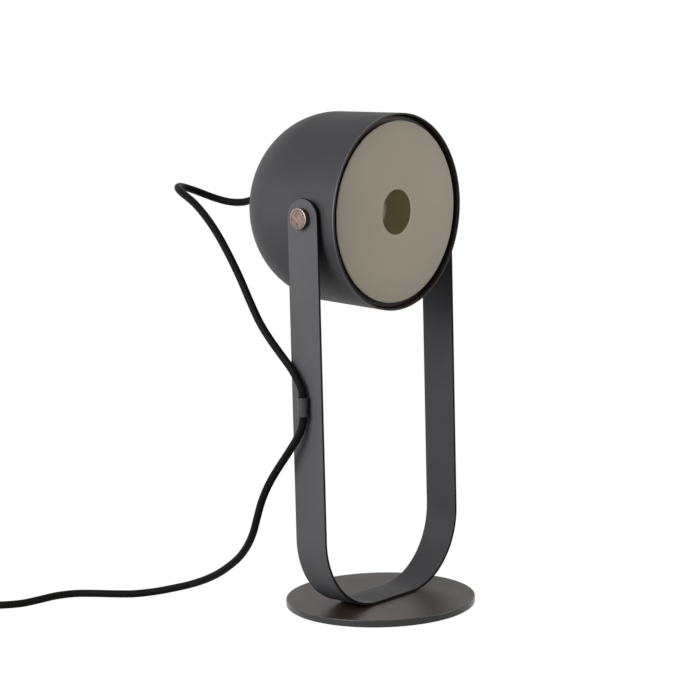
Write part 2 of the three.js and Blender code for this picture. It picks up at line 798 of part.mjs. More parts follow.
function coilPoint(degrees) {
  const angle = THREE.MathUtils.degToRad(degrees);
  const radius = coilRadiusAt(degrees);
  const climbStart = (coilEndDegrees - coilClimbDegrees) / 2;
  const climb = THREE.MathUtils.smoothstep(degrees, climbStart, climbStart + coilClimbDegrees);
  return new THREE.Vector3(
    coilMiddle.x + radius * Math.sin(angle),
    coilMiddle.y + radius * Math.cos(angle),
    coilLayerLow + coilPitch * climb,
  );
}

function coilDirection(degrees) {
  const step = fullTurn / coilSteps / coilSteps;
  const from = coilPoint(Math.max(degrees - step, 0));
  const to = coilPoint(Math.min(degrees + step, coilEndDegrees));
  return to.sub(from).normalize();
}

function coilPath() {
  const count = Math.round(coilEndDegrees / fullTurn * coilSteps);
  const rings = Array.from({ length: count + 1 }, (_, i) => {
    const degrees = coilEndDegrees * i / count;
    return { centre: coilPoint(degrees), along: coilDirection(degrees) };
  });
  const straight = 2 * cordRadius;
  const first = rings[0];
  const last = rings[count];
  return [
    { centre: first.centre.clone().addScaledVector(first.along, -straight), along: first.along },
    ...rings,
    { centre: last.centre.clone().addScaledVector(last.along, straight), along: last.along },
  ];
}

function tubeThrough(rings, sectionSides) {
  const positions = [];
  for (const { centre, along } of rings) {
    const aside = new THREE.Vector3(0, 0, 1).cross(along).normalize();
    const up = along.clone().cross(aside);
    for (let k = 0; k < sectionSides; k++) {
      const angle = Math.PI * (2 * k + 1) / sectionSides;
      const point = centre.clone()
        .addScaledVector(aside, cordRadius * Math.cos(angle))
        .addScaledVector(up, cordRadius * Math.sin(angle));
      positions.push(...point.toArray());
    }
  }
  const faces = [];
  const ringCount = rings.length;
  for (let i = 0; i < ringCount - 1; i++) {
    for (let k = 0; k < sectionSides; k++) {
      const a = i * sectionSides + k;
      const b = i * sectionSides + (k + 1) % sectionSides;
      faces.push(a, b, a + sectionSides, b, b + sectionSides, a + sectionSides);
    }
  }
  for (let k = 1; k < sectionSides - 1; k++) {
    const last = (ringCount - 1) * sectionSides;
    faces.push(0, k + 1, k, last, last + k, last + k + 1);
  }
  const geometry = new THREE.BufferGeometry();
  geometry.setAttribute('position', new THREE.Float32BufferAttribute(positions, 3));
  geometry.setIndex(faces);
  return geometry;
}

function leastCoilGap(rings) {
  let least = Infinity;
  const apart = Math.round(coilSteps / 2);
  for (let i = 0; i < rings.length; i++) {
    for (let k = i + apart; k < rings.length; k++) {
      least = Math.min(least, rings[i].centre.distanceTo(rings[k].centre));
    }
  }
  return least - 2 * cordRadius;
}

function makeCord() {
  piece(lamp, 'cord_head_run', cordAlong(headRunPoints, headRunSteps), blackTextile);
  piece(lamp, 'cord_main_run', cordAlong(mainRunPoints, mainRunSteps), blackTextile);

  const coilRings = coilPath();
  console.log('least gap of the coil to itself, mm:', leastCoilGap(coilRings).toFixed(2));
  piece(storage, 'cord_coil', tubeThrough(coilRings, coilSides), blackTextile);

  const straight = 2 * cordRadius;
  const switchOut = switchLength + fitGap;
  const coilIn = coilAlong - straight - fitGap;
  const leadToCoil = cordAlong([
    [switchOut, 0, switchSeam],
    [switchOut + straight, 0, switchSeam],
    [coilIn - straight, 0, coilLayerLow],
    [coilIn, 0, coilLayerLow],
  ], leadSteps);
  piece(storage, 'cord_switch_run', leadToCoil, blackTextile);

  const coilEnd = coilRings[coilRings.length - 1];
  const plugHeight = plugThickness / 2;
  const along = (distance, height) => {
    const point = coilEnd.centre.clone().addScaledVector(coilEnd.along, distance);
    return [point.x, point.y, height];
  };
  const leadToPlug = cordAlong([
    along(fitGap, coilEnd.centre.z),
    along(fitGap + straight, coilEnd.centre.z),
    along(plugLead - fitGap - straight, plugHeight),
    along(plugLead - fitGap, plugHeight),
  ], leadSteps);
  piece(storage, 'cord_plug_run', leadToPlug, blackTextile);
  plug.position.set(...along(plugLead, 0));
  plug.rotation.z = Math.atan2(coilEnd.along.y, coilEnd.along.x);
}

// Tie: a flat band round the four strands that lie beside the switch end of the coil
function makeTie() {
  const outer = coilRadiusAt(tieDegrees) + cordRadius + tieGap;
  const innerStrand = coilRadiusAt(tieDegrees + 2 * fullTurn) - cordRadius;
  const inner = Math.sqrt(innerStrand ** 2 - (tieWidth / 2) ** 2) - tieGap;
  const top = coilLayerLow + coilPitch + cordRadius + tieGap;
  const band = (thickness) => roundedOutline([
    [inner - thickness, tieThickness - thickness, tieRound],
    [outer + thickness, tieThickness - thickness, tieRound],
    [outer + thickness, top + thickness, tieRound],
    [inner - thickness, top + thickness, tieRound],
  ]).map((p) => new THREE.Vector2(-p.x, p.y)).reverse();
  const tie = extruded('y', band(tieThickness), tieWidth, [band(0)]);
  piece(storage, 'cord_tie', tie, nylon, [coilMiddle.x, coilMiddle.y, 0]);
}

// Inline rocker switch: two shells joined by screws from beneath, and a rocker on its own pins
function makeSwitch() {
  const end = switchEndHalfWidth;
  const half = switchHalfWidth;
  const endRound = switchEdgeRound + fitGap;
  const right = switchLength - switchShoulder;
  const body = pebble(roundedOutline([
    [0, -end, endRound],
    [switchShoulder, -half, switchCornerRound],
    [right, -half, switchCornerRound],
    [switchLength, -end, endRound],
    [switchLength, end, endRound],
    [right, half, switchCornerRound],
    [switchShoulder, half, switchCornerRound],
    [0, end, endRound],
  ]), switchHeight, switchEdgeRound);
  const slab = (from, to) => new THREE.BoxGeometry(
    switchLength + 2 * cutOverrun, 2 * (half + cutOverrun), to - from,
  ).translate(switchLength / 2, 0, (from + to) / 2);
  const middle = switchLength / 2;
  const pocket = new THREE.BoxGeometry(
    2 * pocketHalfLength, 2 * pocketHalfWidth, switchHeight + cutOverrun - pocketFloor,
  ).translate(middle, 0, (switchHeight + cutOverrun + pocketFloor) / 2);
  const pinHole = rod('y', rockerPinRadius + fitGap, 2 * (rockerHalfWidth + rockerPinReach + fitGap));
  const screwPlaces = [
    [middle - switchScrewAlong, switchScrewAside],
    [middle + switchScrewAlong, -switchScrewAside],
  ];
  const screwHoles = screwPlaces.map(([x, y]) => {
    const holeTop = switchScrewTop + fitGap;
    const hole = rod('z', switchScrewRadius + fitGap, holeTop + cutOverrun);
    return hole.translate(x, y, (holeTop - cutOverrun) / 2);
  });
  const headHoles = screwPlaces.map(([x, y]) => {
    const holeTop = switchScrewHeadHeight + 2 * fitGap;
    const hole = rod('z', switchScrewHeadRadius + fitGap, holeTop + cutOverrun);
    return hole.translate(x, y, (holeTop - cutOverrun) / 2);
  });
  const lower = cut(body, slab(switchSeam, switchHeight + cutOverrun), ...screwHoles, ...headHoles);
  const upper = cut(
    body,
    slab(-cutOverrun, switchSeam + fitGap),
    pocket,
    pinHole.translate(middle, 0, rockerPivotHeight),
    ...screwHoles,
  );
  piece(storage, 'switch_lower_shell', lower, blackPlastic);
  piece(storage, 'switch_upper_shell', upper, blackPlastic);

  const rockerBody = extruded('y', [
    [-rockerHalfLength, rockerEndDrop],
    [-rockerBellyHalfLength, -rockerBellyDrop],
    [rockerBellyHalfLength, -rockerBellyDrop],
    [rockerHalfLength, rockerEndDrop],
    [rockerHalfLength, rockerEndRise],
    [0, rockerMiddleRise],
    [-rockerHalfLength, rockerEndRise],
  ].map(([x, z]) => new THREE.Vector2(x, z)), 2 * rockerHalfWidth);
  const pins = rod('y', rockerPinRadius, 2 * (rockerHalfWidth + rockerPinReach));
  const rocker = piece(storage, 'switch_rocker', join(rockerBody, pins), blackPlastic, [
    middle, 0, rockerPivotHeight,
  ]);
  rocker.rotation.y = THREE.MathUtils.degToRad(rockerTravelDegrees);

  screwPlaces.forEach(([x, y], i) => {
    const screw = alongZ(turned([
      [0, 0],
      [switchScrewHeadRadius, 0],
      [switchScrewHeadRadius, switchScrewHeadHeight],
      [switchScrewRadius, switchScrewHeadHeight],
      [switchScrewRadius, switchScrewTop - fitGap],
      [0, switchScrewTop - fitGap],
    ], smallSides, true));
    piece(storage, 'switch_screw_' + (i + 1), screw, zincSteel, [x, y, fitGap]);
  });
}

// Plug: a flat two-pin moulding with a grooved sleeve where the cord enters
function makePlug() {
  const face = plugSleeveLength + plugLength;
  const shoulder = plugSleeveLength + plugShoulder;
  const frontRound = plugEdgeRound + fitGap;
  const moulding = pebble(roundedOutline([
    [plugSleeveLength, -plugRearHalfWidth, plugCornerRound],
    [shoulder, -plugHalfWidth, plugCornerRound],
    [face, -plugHalfWidth, frontRound],
    [face, plugHalfWidth, frontRound],
    [shoulder, plugHalfWidth, plugCornerRound],
    [plugSleeveLength, plugRearHalfWidth, plugCornerRound],
  ]), plugThickness, plugEdgeRound);
  const sleeve = turned([
    [0, 0],
    ...groovedTaper(
      0, plugSleeveLength, plugSleeveTipRadius, plugSleeveRadius, plugSleeveGrooves, plugSleeveGrooveDepth,
    ),
    [plugSleeveRadius, plugSleeveLength + plugCornerRound],
    [0, plugSleeveLength + plugCornerRound],
  ], smallSides, true).rotateZ(-Math.PI / 2);
  const pinHoles = [-1, 1].map((side) => (
    rod('x', pinRadius + fitGap, pinEmbed + cutOverrun)
      .translate(face - (pinEmbed - cutOverrun) / 2, side * pinSpread, plugThickness / 2)
  ));
  const body = cut(join(moulding, sleeve.translate(0, 0, plugThickness / 2)), ...pinHoles);
  piece(plug, 'plug_body', body, blackPlastic);
  for (const [name, side] of sides) {
    const inside = pinEmbed - fitGap;
    const pin = turned([
      [0, -inside],
      [pinRadius - pinSleeveThinning, -inside],
      [pinRadius - pinSleeveThinning, pinSleeveLength],
      [pinRadius, pinSleeveLength],
      [pinRadius, pinLength, pinTipRound],
      [0, pinLength],
    ], smallSides, true).rotateZ(-Math.PI / 2);
    piece(plug, 'plug_pin_' + name, pin, zincSteel, [face, side * pinSpread, plugThickness / 2]);
  }
}

makeBase();
makeBracket();
makeCordGuide();
makeShade();
makePivots();
makeDiffuserRing();
makeDiffuser();
makeRearEntry();
makeLampholder();
makeBulb();
makeCord();
makeTie();
makeSwitch();
makePlug();

export default lamp;
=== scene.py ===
"""A table lamp: a drum-shaped head with a domed back, held between the arms of a bent steel strap.

Metres, +Z up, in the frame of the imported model. The origin is the middle of the base's underside and
the head faces -Y. In the head's own frame Y runs back along its axis, from the pivot.
"""
import json
import math

import bmesh
import bpy
from mathutils import Matrix, Vector


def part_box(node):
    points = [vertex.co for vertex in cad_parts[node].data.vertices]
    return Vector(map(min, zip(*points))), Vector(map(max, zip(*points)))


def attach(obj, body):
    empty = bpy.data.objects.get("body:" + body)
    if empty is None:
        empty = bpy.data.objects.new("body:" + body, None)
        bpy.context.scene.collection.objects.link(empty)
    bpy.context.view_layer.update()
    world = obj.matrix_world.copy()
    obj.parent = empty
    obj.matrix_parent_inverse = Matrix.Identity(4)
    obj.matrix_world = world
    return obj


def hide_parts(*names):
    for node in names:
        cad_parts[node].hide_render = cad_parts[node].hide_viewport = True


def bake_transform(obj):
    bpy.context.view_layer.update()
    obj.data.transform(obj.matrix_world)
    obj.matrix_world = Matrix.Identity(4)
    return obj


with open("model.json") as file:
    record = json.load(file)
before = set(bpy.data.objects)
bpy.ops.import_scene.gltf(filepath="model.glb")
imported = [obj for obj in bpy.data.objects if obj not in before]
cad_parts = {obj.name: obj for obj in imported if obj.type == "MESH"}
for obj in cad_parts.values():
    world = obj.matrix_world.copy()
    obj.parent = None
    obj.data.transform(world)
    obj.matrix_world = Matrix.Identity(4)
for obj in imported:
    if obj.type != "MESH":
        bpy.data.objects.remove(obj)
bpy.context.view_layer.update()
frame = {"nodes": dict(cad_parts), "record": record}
nodes = frame["nodes"]

MM = 0.001
FIT_GAP = 0.3 * MM

# Camera, fitted to the photo: it looks at AIM from one side and above, then turns by three small angles
AIM = Vector((0, 0, 190 * MM))
CAMERA_AZIMUTH = -49.468
CAMERA_ELEVATION = 8.922
CAMERA_DISTANCE = 1746.776 * MM
CAMERA_YAW = 0.639
CAMERA_PITCH = 0.439
CAMERA_ROLL = -1.305
FOCAL_LENGTH_PER_FRAME_WIDTH = 3.18762

# Rest place of the head, and the put-away end of the cord
HEAD_TILT = 2.0
STORAGE_PLACE = Vector((-252 * MM, 240 * MM, 0))
STORAGE_TURN = -130.25

# Base
BASE_FOOT_ROUND = 0.4 * MM
BASE_TOP_ROUND = 0.8 * MM
COUNTERBORE_RADIUS = 6 * MM
COUNTERBORE_DEPTH = 3 * MM
STUD_HOLE_RADIUS = 2.8 * MM
STUD_HOLE_COVER = 0.4 * MM
STUD_SPREAD = 13 * MM

# Strap
STRAP_THICKNESS = 2 * MM
STRAP_BEND_RADIUS = 58 * MM
STRAP_EDGE_ROUND = 0.35 * MM
PIVOT_HOLE_RADIUS = 3.3 * MM
PEG_HOLE_RADIUS = 2.3 * MM

# Cord guide
GUIDE_RADIUS = 4.5 * MM
GUIDE_BORE_RADIUS = 3.35 * MM
GUIDE_RIM_HEIGHT = 1.1 * MM
GUIDE_RIM_DEPTH = 0.4 * MM
GUIDE_EDGE_ROUND = 0.4 * MM
GUIDE_FOOT_WIDTH = 6 * MM
GUIDE_FOOT_ROUND = 0.2 * MM
GUIDE_FOOT_SETBACK = 0.5 * MM
GUIDE_FOOT_CLEARANCE = 0.2 * MM
GUIDE_PEG_RADIUS = 2 * MM
GUIDE_PEG_ROOT = 0.4 * MM
GUIDE_PEG_LENGTH = 1.7 * MM

# Pivot hardware
KNOB_RADIUS = 8 * MM
KNOB_THICKNESS = 4.5 * MM
KNOB_EDGE_ROUND = 0.5 * MM
KNOB_DISH_RADIUS = 6.6 * MM
KNOB_DISH_DEPTH = 0.25 * MM
KNOB_STUD_RADIUS = 3 * MM
KNOB_STUD_END = 67 * MM
SPACER_RADIUS = 7 * MM
SPACER_EDGE_ROUND = 0.3 * MM

# Shade
MOUTH_RADIUS = 76 * MM
MOUTH_FORWARD = 27.5 * MM
EQUATOR_RADIUS = 74.5 * MM
EQUATOR_BACK = 34.5 * MM
DOME_LENGTH = 65 * MM
SHADE_WALL = 1.5 * MM
# How far the lighter lip paint reaches back along the side: the band of painted highlight
LIP_HIGHLIGHT_BAND = 1.3 * MM
LIP_ROUND_SHARE = 0.99
REAR_SEAT_RADIUS = 11 * MM
NIPPLE_HOLE_RADIUS = 5.3 * MM

# Ledge ring and diffuser
RING_FORWARD = 22.2 * MM
RING_SHEET = 1 * MM
RING_DEPTH = 10 * MM
RING_INNER_RADIUS = 68 * MM
DIFFUSER_RADIUS = 70 * MM
DIFFUSER_FORWARD = 25.5 * MM
DIFFUSER_THICKNESS = 3 * MM
DIFFUSER_EDGE_ROUND = 0.6 * MM
FINGER_HOLE_RADIUS = 17.5 * MM
FINGER_HOLE_ROUND = 0.3 * MM
FINGER_HOLE_LAND = 0.8 * MM
FINGER_HOLE_FLARE = 2.5 * MM
LEG_INNER_RADIUS = 66.1 * MM
LEG_THICKNESS = 1.2 * MM
LEG_WIDTH = 9 * MM
LEG_EDGE_ROUND = 0.2 * MM
HOOK_REACH = 2 * MM
HOOK_HEIGHT = 2.4 * MM
LEG_COUNT = 3
LEG_PHASE_SHARE = 0.25

# Strain relief at the back
RELIEF_FLANGE_RADIUS = 10 * MM
RELIEF_FLANGE_HEIGHT = 3 * MM
RELIEF_FLANGE_ROUND = 1 * MM
RELIEF_NECK_RADIUS = 7.4 * MM
RELIEF_TAPER_START = 107.8 * MM
RELIEF_SHOULDER_RADIUS = 6.6 * MM
RELIEF_TIP_RADIUS = 4.4 * MM
RELIEF_END = 121.5 * MM
RELIEF_BORE_RADIUS = 3.3 * MM
RELIEF_GROOVE_DEPTH = 0.9 * MM
RELIEF_GROOVES = 4
RELIEF_EDGE_ROUND = 0.3 * MM

# Lampholder and bulb
HOLDER_CAP_RADIUS = 13.5 * MM
HOLDER_CAP_ROUND = 4 * MM
HOLDER_CAP_WALL = 2.2 * MM
HOLDER_CAP_FRONT = 78.3 * MM
HOLDER_CAP_REAR = 93.7 * MM
HOLDER_RADIUS = 14 * MM
HOLDER_FRONT = 47.6 * MM
HOLDER_REAR = 78 * MM
HOLDER_BORE_RADIUS = 8.6 * MM
HOLDER_BORE_DEPTH = 23.7 * MM
HOLDER_EDGE_ROUND = 0.8 * MM
HOLDER_GROOVE_DEPTH = 0.5 * MM
HOLDER_GROOVES = 5
HOLDER_PLAIN_END = 3 * MM
BULB_RADIUS = 22.5 * MM
BULB_TIP_FORWARD = 8.2 * MM
BULB_NECK_RADIUS = 8.2 * MM
BULB_NECK_BACK = 44.6 * MM

# Cord
CORD_RADIUS = 3 * MM
CORD_SIDES = 16
CORD_STEP = 2.5 * MM
CORD_INSERTION = 3 * MM
CORD_STRAIGHT_OUT = 0.5 * MM
BRAID_STRANDS = 10
BRAID_PICK = 3.4 * MM
COIL_PITCH = 6.6 * MM
COIL_RADIUS = 39.6 * MM
COIL_LIFT = 1.2 * MM
COIL_DEGREES = 1640
COIL_CLIMB_DEGREES = 180
COIL_STEP_DEGREES = 4
COIL_ALONG = 100 * MM
COIL_STRAIGHT = 6 * MM
TIE_DEGREES = 270
TIE_STRANDS_DEGREES = 720
TIE_WIDTH = 10 * MM
TIE_THICKNESS = 0.8 * MM
TIE_GAP = 0.35 * MM
TIE_ROUND = 1.5 * MM
TIE_EDGE_ROUND = 0.25 * MM
TIE_TAB_LENGTH = 13 * MM
PLUG_LEAD = 28 * MM

# Inline switch
SWITCH_LENGTH = 60 * MM
SWITCH_HALF_WIDTH = 13 * MM
SWITCH_END_HALF_WIDTH = 5.5 * MM
SWITCH_SHOULDER = 9 * MM
SWITCH_HEIGHT = 17 * MM
SWITCH_SEAM = 7.5 * MM
SWITCH_EDGE_ROUND = 2 * MM
SWITCH_CORNER_ROUND = 5 * MM
SEAM_CHAMFER = 0.25 * MM
POCKET_HALF_LENGTH = 12 * MM
POCKET_HALF_WIDTH = 6.1 * MM
POCKET_CORNER_ROUND = 1 * MM
POCKET_FLOOR = 9.4 * MM
ROCKER_HALF_LENGTH = 11 * MM
ROCKER_HALF_WIDTH = 5.6 * MM
ROCKER_PIVOT_HEIGHT = 13.4 * MM
ROCKER_END_RISE = 3.8 * MM
ROCKER_MIDDLE_RISE = 1.9 * MM
ROCKER_END_DROP = 0.5 * MM
ROCKER_BELLY_DROP = 3 * MM
ROCKER_BELLY_HALF_LENGTH = 3 * MM
ROCKER_EDGE_ROUND = 0.5 * MM
ROCKER_TIP_DEGREES = 8

# Plug
PLUG_HALF_WIDTH = 17.6 * MM
PLUG_REAR_HALF_WIDTH = 8 * MM
PLUG_SHOULDER = 14 * MM
PLUG_LENGTH = 36 * MM
PLUG_THICKNESS = 13.7 * MM
PLUG_EDGE_ROUND = 2.2 * MM
PLUG_CORNER_ROUND = 5 * MM
PLUG_SLEEVE_LENGTH = 20 * MM
PLUG_SLEEVE_RADIUS = 5.6 * MM
PLUG_SLEEVE_TIP_RADIUS = 4.2 * MM
PLUG_SLEEVE_GROOVES = 4
PLUG_SLEEVE_GROOVE_DEPTH = 0.8 * MM
PIN_RADIUS = 2 * MM
PIN_SLEEVE_THINNING = 0.15 * MM
PIN_LENGTH = 19 * MM
PIN_SLEEVE_LENGTH = 10 * MM
PIN_SPREAD = 9.3 * MM
PIN_TIP_ROUND = 1.5 * MM

# Roundness
FINE = 192
MEDIUM = 96
SMALL = 48
ARC_STEPS = 5
DOME_STEPS = 48
GLOBE_STEPS = 40
BEND_STEP = 2.5 * MM
ARM_STEP = 12 * MM
CAP_STEPS = 24
SMOOTH_ANGLE = 32
SHARPEST_MITRE = 0.3
ON_AXIS = 1e-9

# The part of a noise's values that the materials' colour and gloss follow
COLOUR_NOISE = (0.35, 0.65)
GLOSS_NOISE = (0.3, 0.7)

# Stage
FLOOR_SIZE = 200
FLOOR_COLOUR = 0.45
SEEN_SHARE = 0.96
SEEN_STRENGTH = 1.045
WORLD_COLOUR = (1.0, 0.99, 0.97)
WORLD_LIGHT = 0.03

# Lights: name, azimuth and elevation of where the light stands, power, colour
LIGHTS = [
    ("upper_left", -92, 24, 8.5, (1.0, 0.99, 1.0)),
    ("left", -93, 5, 1.1, (1.0, 1.0, 1.04)),
    ("rear_left", -132, 12, 2.3, (1.0, 1.0, 1.04)),
    ("front_right", 38, 20, 3.9, (1.0, 0.97, 0.93)),
]
LIGHT_AIM = Vector((0, 0, 200 * MM))
LIGHT_DISTANCE = 0.9
LIGHT_SIZE = 0.5

# The cord's route outside its coil, in millimetres: the CAD source's points without the first of each run.
# Fits to places read off the photographed cord worked most of them out, and some were then set one by one.
HEAD_RUN = [
    (0.2, 127.6, 316.3), (0.3, 135.8, 314.3), (-1, 143.8, 313.6), (-4.6, 152.9, 314.7),
    (-11.4, 161, 318.1), (-25.9, 167.8, 324.7), (-40.3, 166.5, 328.6), (-52.3, 159.2, 329.1),
    (-60, 147.7, 326.2), (-63.4, 131.6, 319.3), (-65.7, 119.1, 311.6), (-67.9, 107.3, 302.5),
    (-70.1, 96.2, 292.2), (-72.5, 84, 278.8), (-75, 71.4, 263.2), (-78.1, 58.5, 246.1),
    (-80.5, 46.7, 231.1), (-82.5, 34.7, 219.4), (-84.5, 22.2, 209.2), (-85.7, 10.2, 198.6),
    (-85.4, 3.3, 189), (-85.1, 0.5, 182.2), (-85, 0, 178.5),
]
MAIN_RUN = [
    (-85, 0, 163), (-85.8, 0.8, 155.6), (-87.8, 3.6, 147.6), (-91.2, 10.8, 135), (-93.7, 20.8, 120.8),
    (-94.1, 30.1, 107.7), (-93.3, 38.3, 94.1), (-91, 45.8, 80), (-87.5, 54, 66.3), (-84, 63.9, 54),
    (-81.2, 75.6, 42.8), (-79.2, 88.3, 33.7), (-78.3, 102.5, 24.9), (-78.5, 117, 17.8),
    (-80.8, 132, 12), (-86.1, 147.2, 7.5), (-95, 160.8, 4.4), (-105.6, 173, 3.1), (-114.3, 184.9, 3.1),
    (-122.9, 199, 3.1), (-132.8, 212.4, 3.1), (-146.6, 219.8, 3.1), (-163.3, 221.8, 3.1),
    (-179.4, 224.6, 3.1), (-191.6, 233, 3.1), (-201.6, 245.2, 3.1), (-211.2, 253, 3.2),
    (-222.6, 256.3, 4), (-235, 254.4, 5.7), (-245.8, 247.4, 7.2), (-251.8, 240.2, 7.5),
]


# Places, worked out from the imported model

def turned(degrees, axis):
    return Matrix.Rotation(math.radians(degrees), 4, axis)


def shifted(x, y, z):
    return Matrix.Translation((x, y, z))


def spans(node):
    low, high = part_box(node)
    return Vector(low), Vector(high)


base_low, base_high = spans("base_plate")
strap_low, strap_high = spans("bracket")
guide_low, guide_high = spans("cord_guide")
joints = {joint["name"]: joint for joint in frame["record"]["behaviour"]["joints"]}
slots = {part["node"]: part["material_slot"] for part in frame["record"]["subparts"]}
pivot = Vector(joints["head_tilt"]["pos_m"])
guide_axis_x = strap_low.x - GUIDE_RADIUS
guide_middle = (guide_low.z + guide_high.z) / 2
rear_seat_back = EQUATOR_BACK + DOME_LENGTH * math.sqrt(1 - (REAR_SEAT_RADIUS / EQUATOR_RADIUS) ** 2)

about_z = turned(90, "X")
head_place = Matrix.Translation(pivot) @ turned(HEAD_TILT, "X")
storage_place = Matrix.Translation(STORAGE_PLACE) @ turned(STORAGE_TURN, "Z")


# Outlines

def rounded(corners, steps=ARC_STEPS, closed=True):
    """Points of an outline given by corners (across, along, fillet radius). An open one keeps its ends."""
    points = []
    count = len(corners)
    for i, corner in enumerate(corners):
        at = Vector(corner[:2])
        radius = corner[2] if len(corner) > 2 else 0
        if radius <= 0 or (not closed and i in (0, count - 1)):
            points.append(at)
            continue
        back = Vector(corners[i - 1][:2]) - at
        ahead = Vector(corners[(i + 1) % count][:2]) - at
        room = min(back.length, ahead.length) / 2
        back.normalize()
        ahead.normalize()
        half = back.angle(ahead) / 2
        run = min(radius / math.tan(half), room)
        reach = run * math.tan(half)
        centre = at + (back + ahead).normalized() * (reach / math.sin(half))
        start = at + back * run - centre
        end = at + ahead * run - centre
        turn = math.atan2(start.x * end.y - start.y * end.x, start.dot(end))
        for k in range(steps + 1):
            points.append(centre + Matrix.Rotation(turn * k / steps, 2) @ start)
    return points


def open_profile(corners, steps=ARC_STEPS):
    return rounded(corners, steps, closed=False)


def mirrored(corners, steps=ARC_STEPS):
    """An outline from its corners on one side of the X axis and their mirror images on the other."""
    return rounded(corners + [(x, -y, radius) for x, y, radius in reversed(corners)], steps)


def rectangle(low, high, half_width, radius=0, steps=ARC_STEPS):
    return mirrored([(low, -half_width, radius), (high, -half_width, radius)], steps)


def edge_levels(low, high, low_round, high_round=None, steps=ARC_STEPS):
    """Levels (inset, height) of a slab with rounded edges. The upper edge is like the lower if not given."""
    high_round = high_round or low_round
    angles = [math.pi / 2 * k / steps for k in range(steps + 1)]
    levels = [(low_round * (1 - math.sin(a)), low + low_round * (1 - math.cos(a))) for a in angles]
    levels += [(high_round * (1 - math.cos(a)), high - high_round * (1 - math.sin(a))) for a in angles]
    return levels


def grooved_taper(start, end, radius_start, radius_end, grooves, depth, edge):
    """Corners of a taper with grooves across it, as (radius, along, fillet)."""
    count = 2 * grooves + 1
    corners = []
    for i in range(count):
        drop = depth if i % 2 else 0
        for share in (i / count, (i + 1) / count):
            radius = radius_start + (radius_end - radius_start) * share - drop
            corners.append((radius, start + (end - start) * share, edge))
    return corners


# Forms: (vertices, faces, material number of each face)

def lathe(profile, segments, changes=()):
    """A profile of (radius, along) turned about Y. At each index in changes the next material starts."""
    verts = []
    rings = []
    for radius, along in profile:
        start = len(verts)
        if radius < ON_AXIS:
            rings.append([start])
            verts.append(Vector((0, along, 0)))
            continue
        rings.append(list(range(start, start + segments)))
        for i in range(segments):
            angle = 2 * math.pi * i / segments
            verts.append(Vector((radius * math.cos(angle), along, radius * math.sin(angle))))
    pairs = list(zip(rings, rings[1:]))
    if len(rings[0]) > 1 and len(rings[-1]) > 1:
        pairs.append((rings[-1], rings[0]))
    faces = []
    marks = []
    for index, (a, b) in enumerate(pairs):
        for i in range(segments):
            j = (i + 1) % segments
            if len(a) == 1:
                faces.append((a[0], b[j], b[i]))
            elif len(b) == 1:
                faces.append((a[i], a[j], b[0]))
            else:
                faces.append((a[i], a[j], b[j], b[i]))
            marks.append(sum(index >= change for change in changes))
    return verts, faces, marks


def faces_between(rows, count, closed=False):
    """Faces between neighbouring rows of count points. closed joins the last row to the first."""
    faces = []
    for row in range(rows if closed else rows - 1):
        a = row * count
        b = (row + 1) % rows * count
        for i in range(count):
            j = (i + 1) % count
            faces.append((a + i, a + j, b + j, b + i))
    return faces


def capped_faces(rows, count):
    """The same, with one face over the first row and one over the last."""
    first = tuple(reversed(range(count)))
    last = tuple(range((rows - 1) * count, rows * count))
    return [first, *faces_between(rows, count), last]


def slab(outline, levels):
    """An outline in X and Y raised through levels (inset, height)."""
    count = len(outline)
    normals = []
    for i in range(count):
        before = (outline[i] - outline[i - 1]).normalized()
        after = (outline[(i + 1) % count] - outline[i]).normalized()
        out_before = Vector((before.y, -before.x))
        out_after = Vector((after.y, -after.x))
        middle = (out_before + out_after).normalized()
        normals.append(middle / max(middle.dot(out_after), SHARPEST_MITRE))
    verts = []
    for inset, height in levels:
        for point, normal in zip(outline, normals):
            verts.append((point - normal * inset).to_3d() + Vector((0, 0, height)))
    faces = capped_faces(len(levels), count)
    return verts, faces, [0] * len(faces)


def tube(path, radius, sides):
    """A round tube along a path, and its texture coordinates: turns round it, and metres along it."""
    tangents = []
    for i in range(len(path)):
        tangents.append((path[min(i + 1, len(path) - 1)] - path[max(i - 1, 0)]).normalized())
    side = tangents[0].orthogonal().normalized()
    verts = []
    along = [0.0]
    for i, (centre, tangent) in enumerate(zip(path, tangents)):
        side = (side - tangent * side.dot(tangent)).normalized()
        other = tangent.cross(side)
        if i:
            along.append(along[-1] + (centre - path[i - 1]).length)
        for k in range(sides):
            angle = 2 * math.pi * k / sides
            verts.append(centre + (side * math.cos(angle) + other * math.sin(angle)) * radius)
    middle = 0.5
    uvs = [(middle, 0.0)] * sides
    for near, far in zip(along, along[1:]):
        for k in range(sides):
            left = k / sides
            right = (k + 1) / sides
            uvs += [(left, near), (right, near), (right, far), (left, far)]
    uvs += [(middle, along[-1])] * sides
    faces = capped_faces(len(path), sides)
    return (verts, faces, [0] * len(faces)), uvs


def loop_band(centres, normals, half_thickness, half_width, edge):
    """A flat band round a closed path in X and Z, with its width along Y."""
    section = rectangle(-half_thickness, half_thickness, half_width, edge, 3)
    verts = []
    for centre, normal in zip(centres, normals):
        for across, along in section:
            verts.append(Vector((centre.x + normal.x * across, along, centre.y + normal.y * across)))
    faces = faces_between(len(centres), len(section), closed=True)
    return verts, faces, [0] * len(faces)


def rod_form(radius, start, end):
    return lathe([(0, start), (radius, start), (radius, end), (0, end)], SMALL)


def placed(form, matrix):
    verts, faces, marks = form
    return [matrix @ v for v in verts], faces, marks


def joined(*forms):
    verts = []
    faces = []
    marks = []
    for more_verts, more_faces, more_marks in forms:
        offset = len(verts)
        verts += more_verts
        faces += [tuple(i + offset for i in face) for face in more_faces]
        marks += more_marks
    return verts, faces, marks


# Objects

def link(obj):
    bpy.context.scene.collection.objects.link(obj)
    return obj


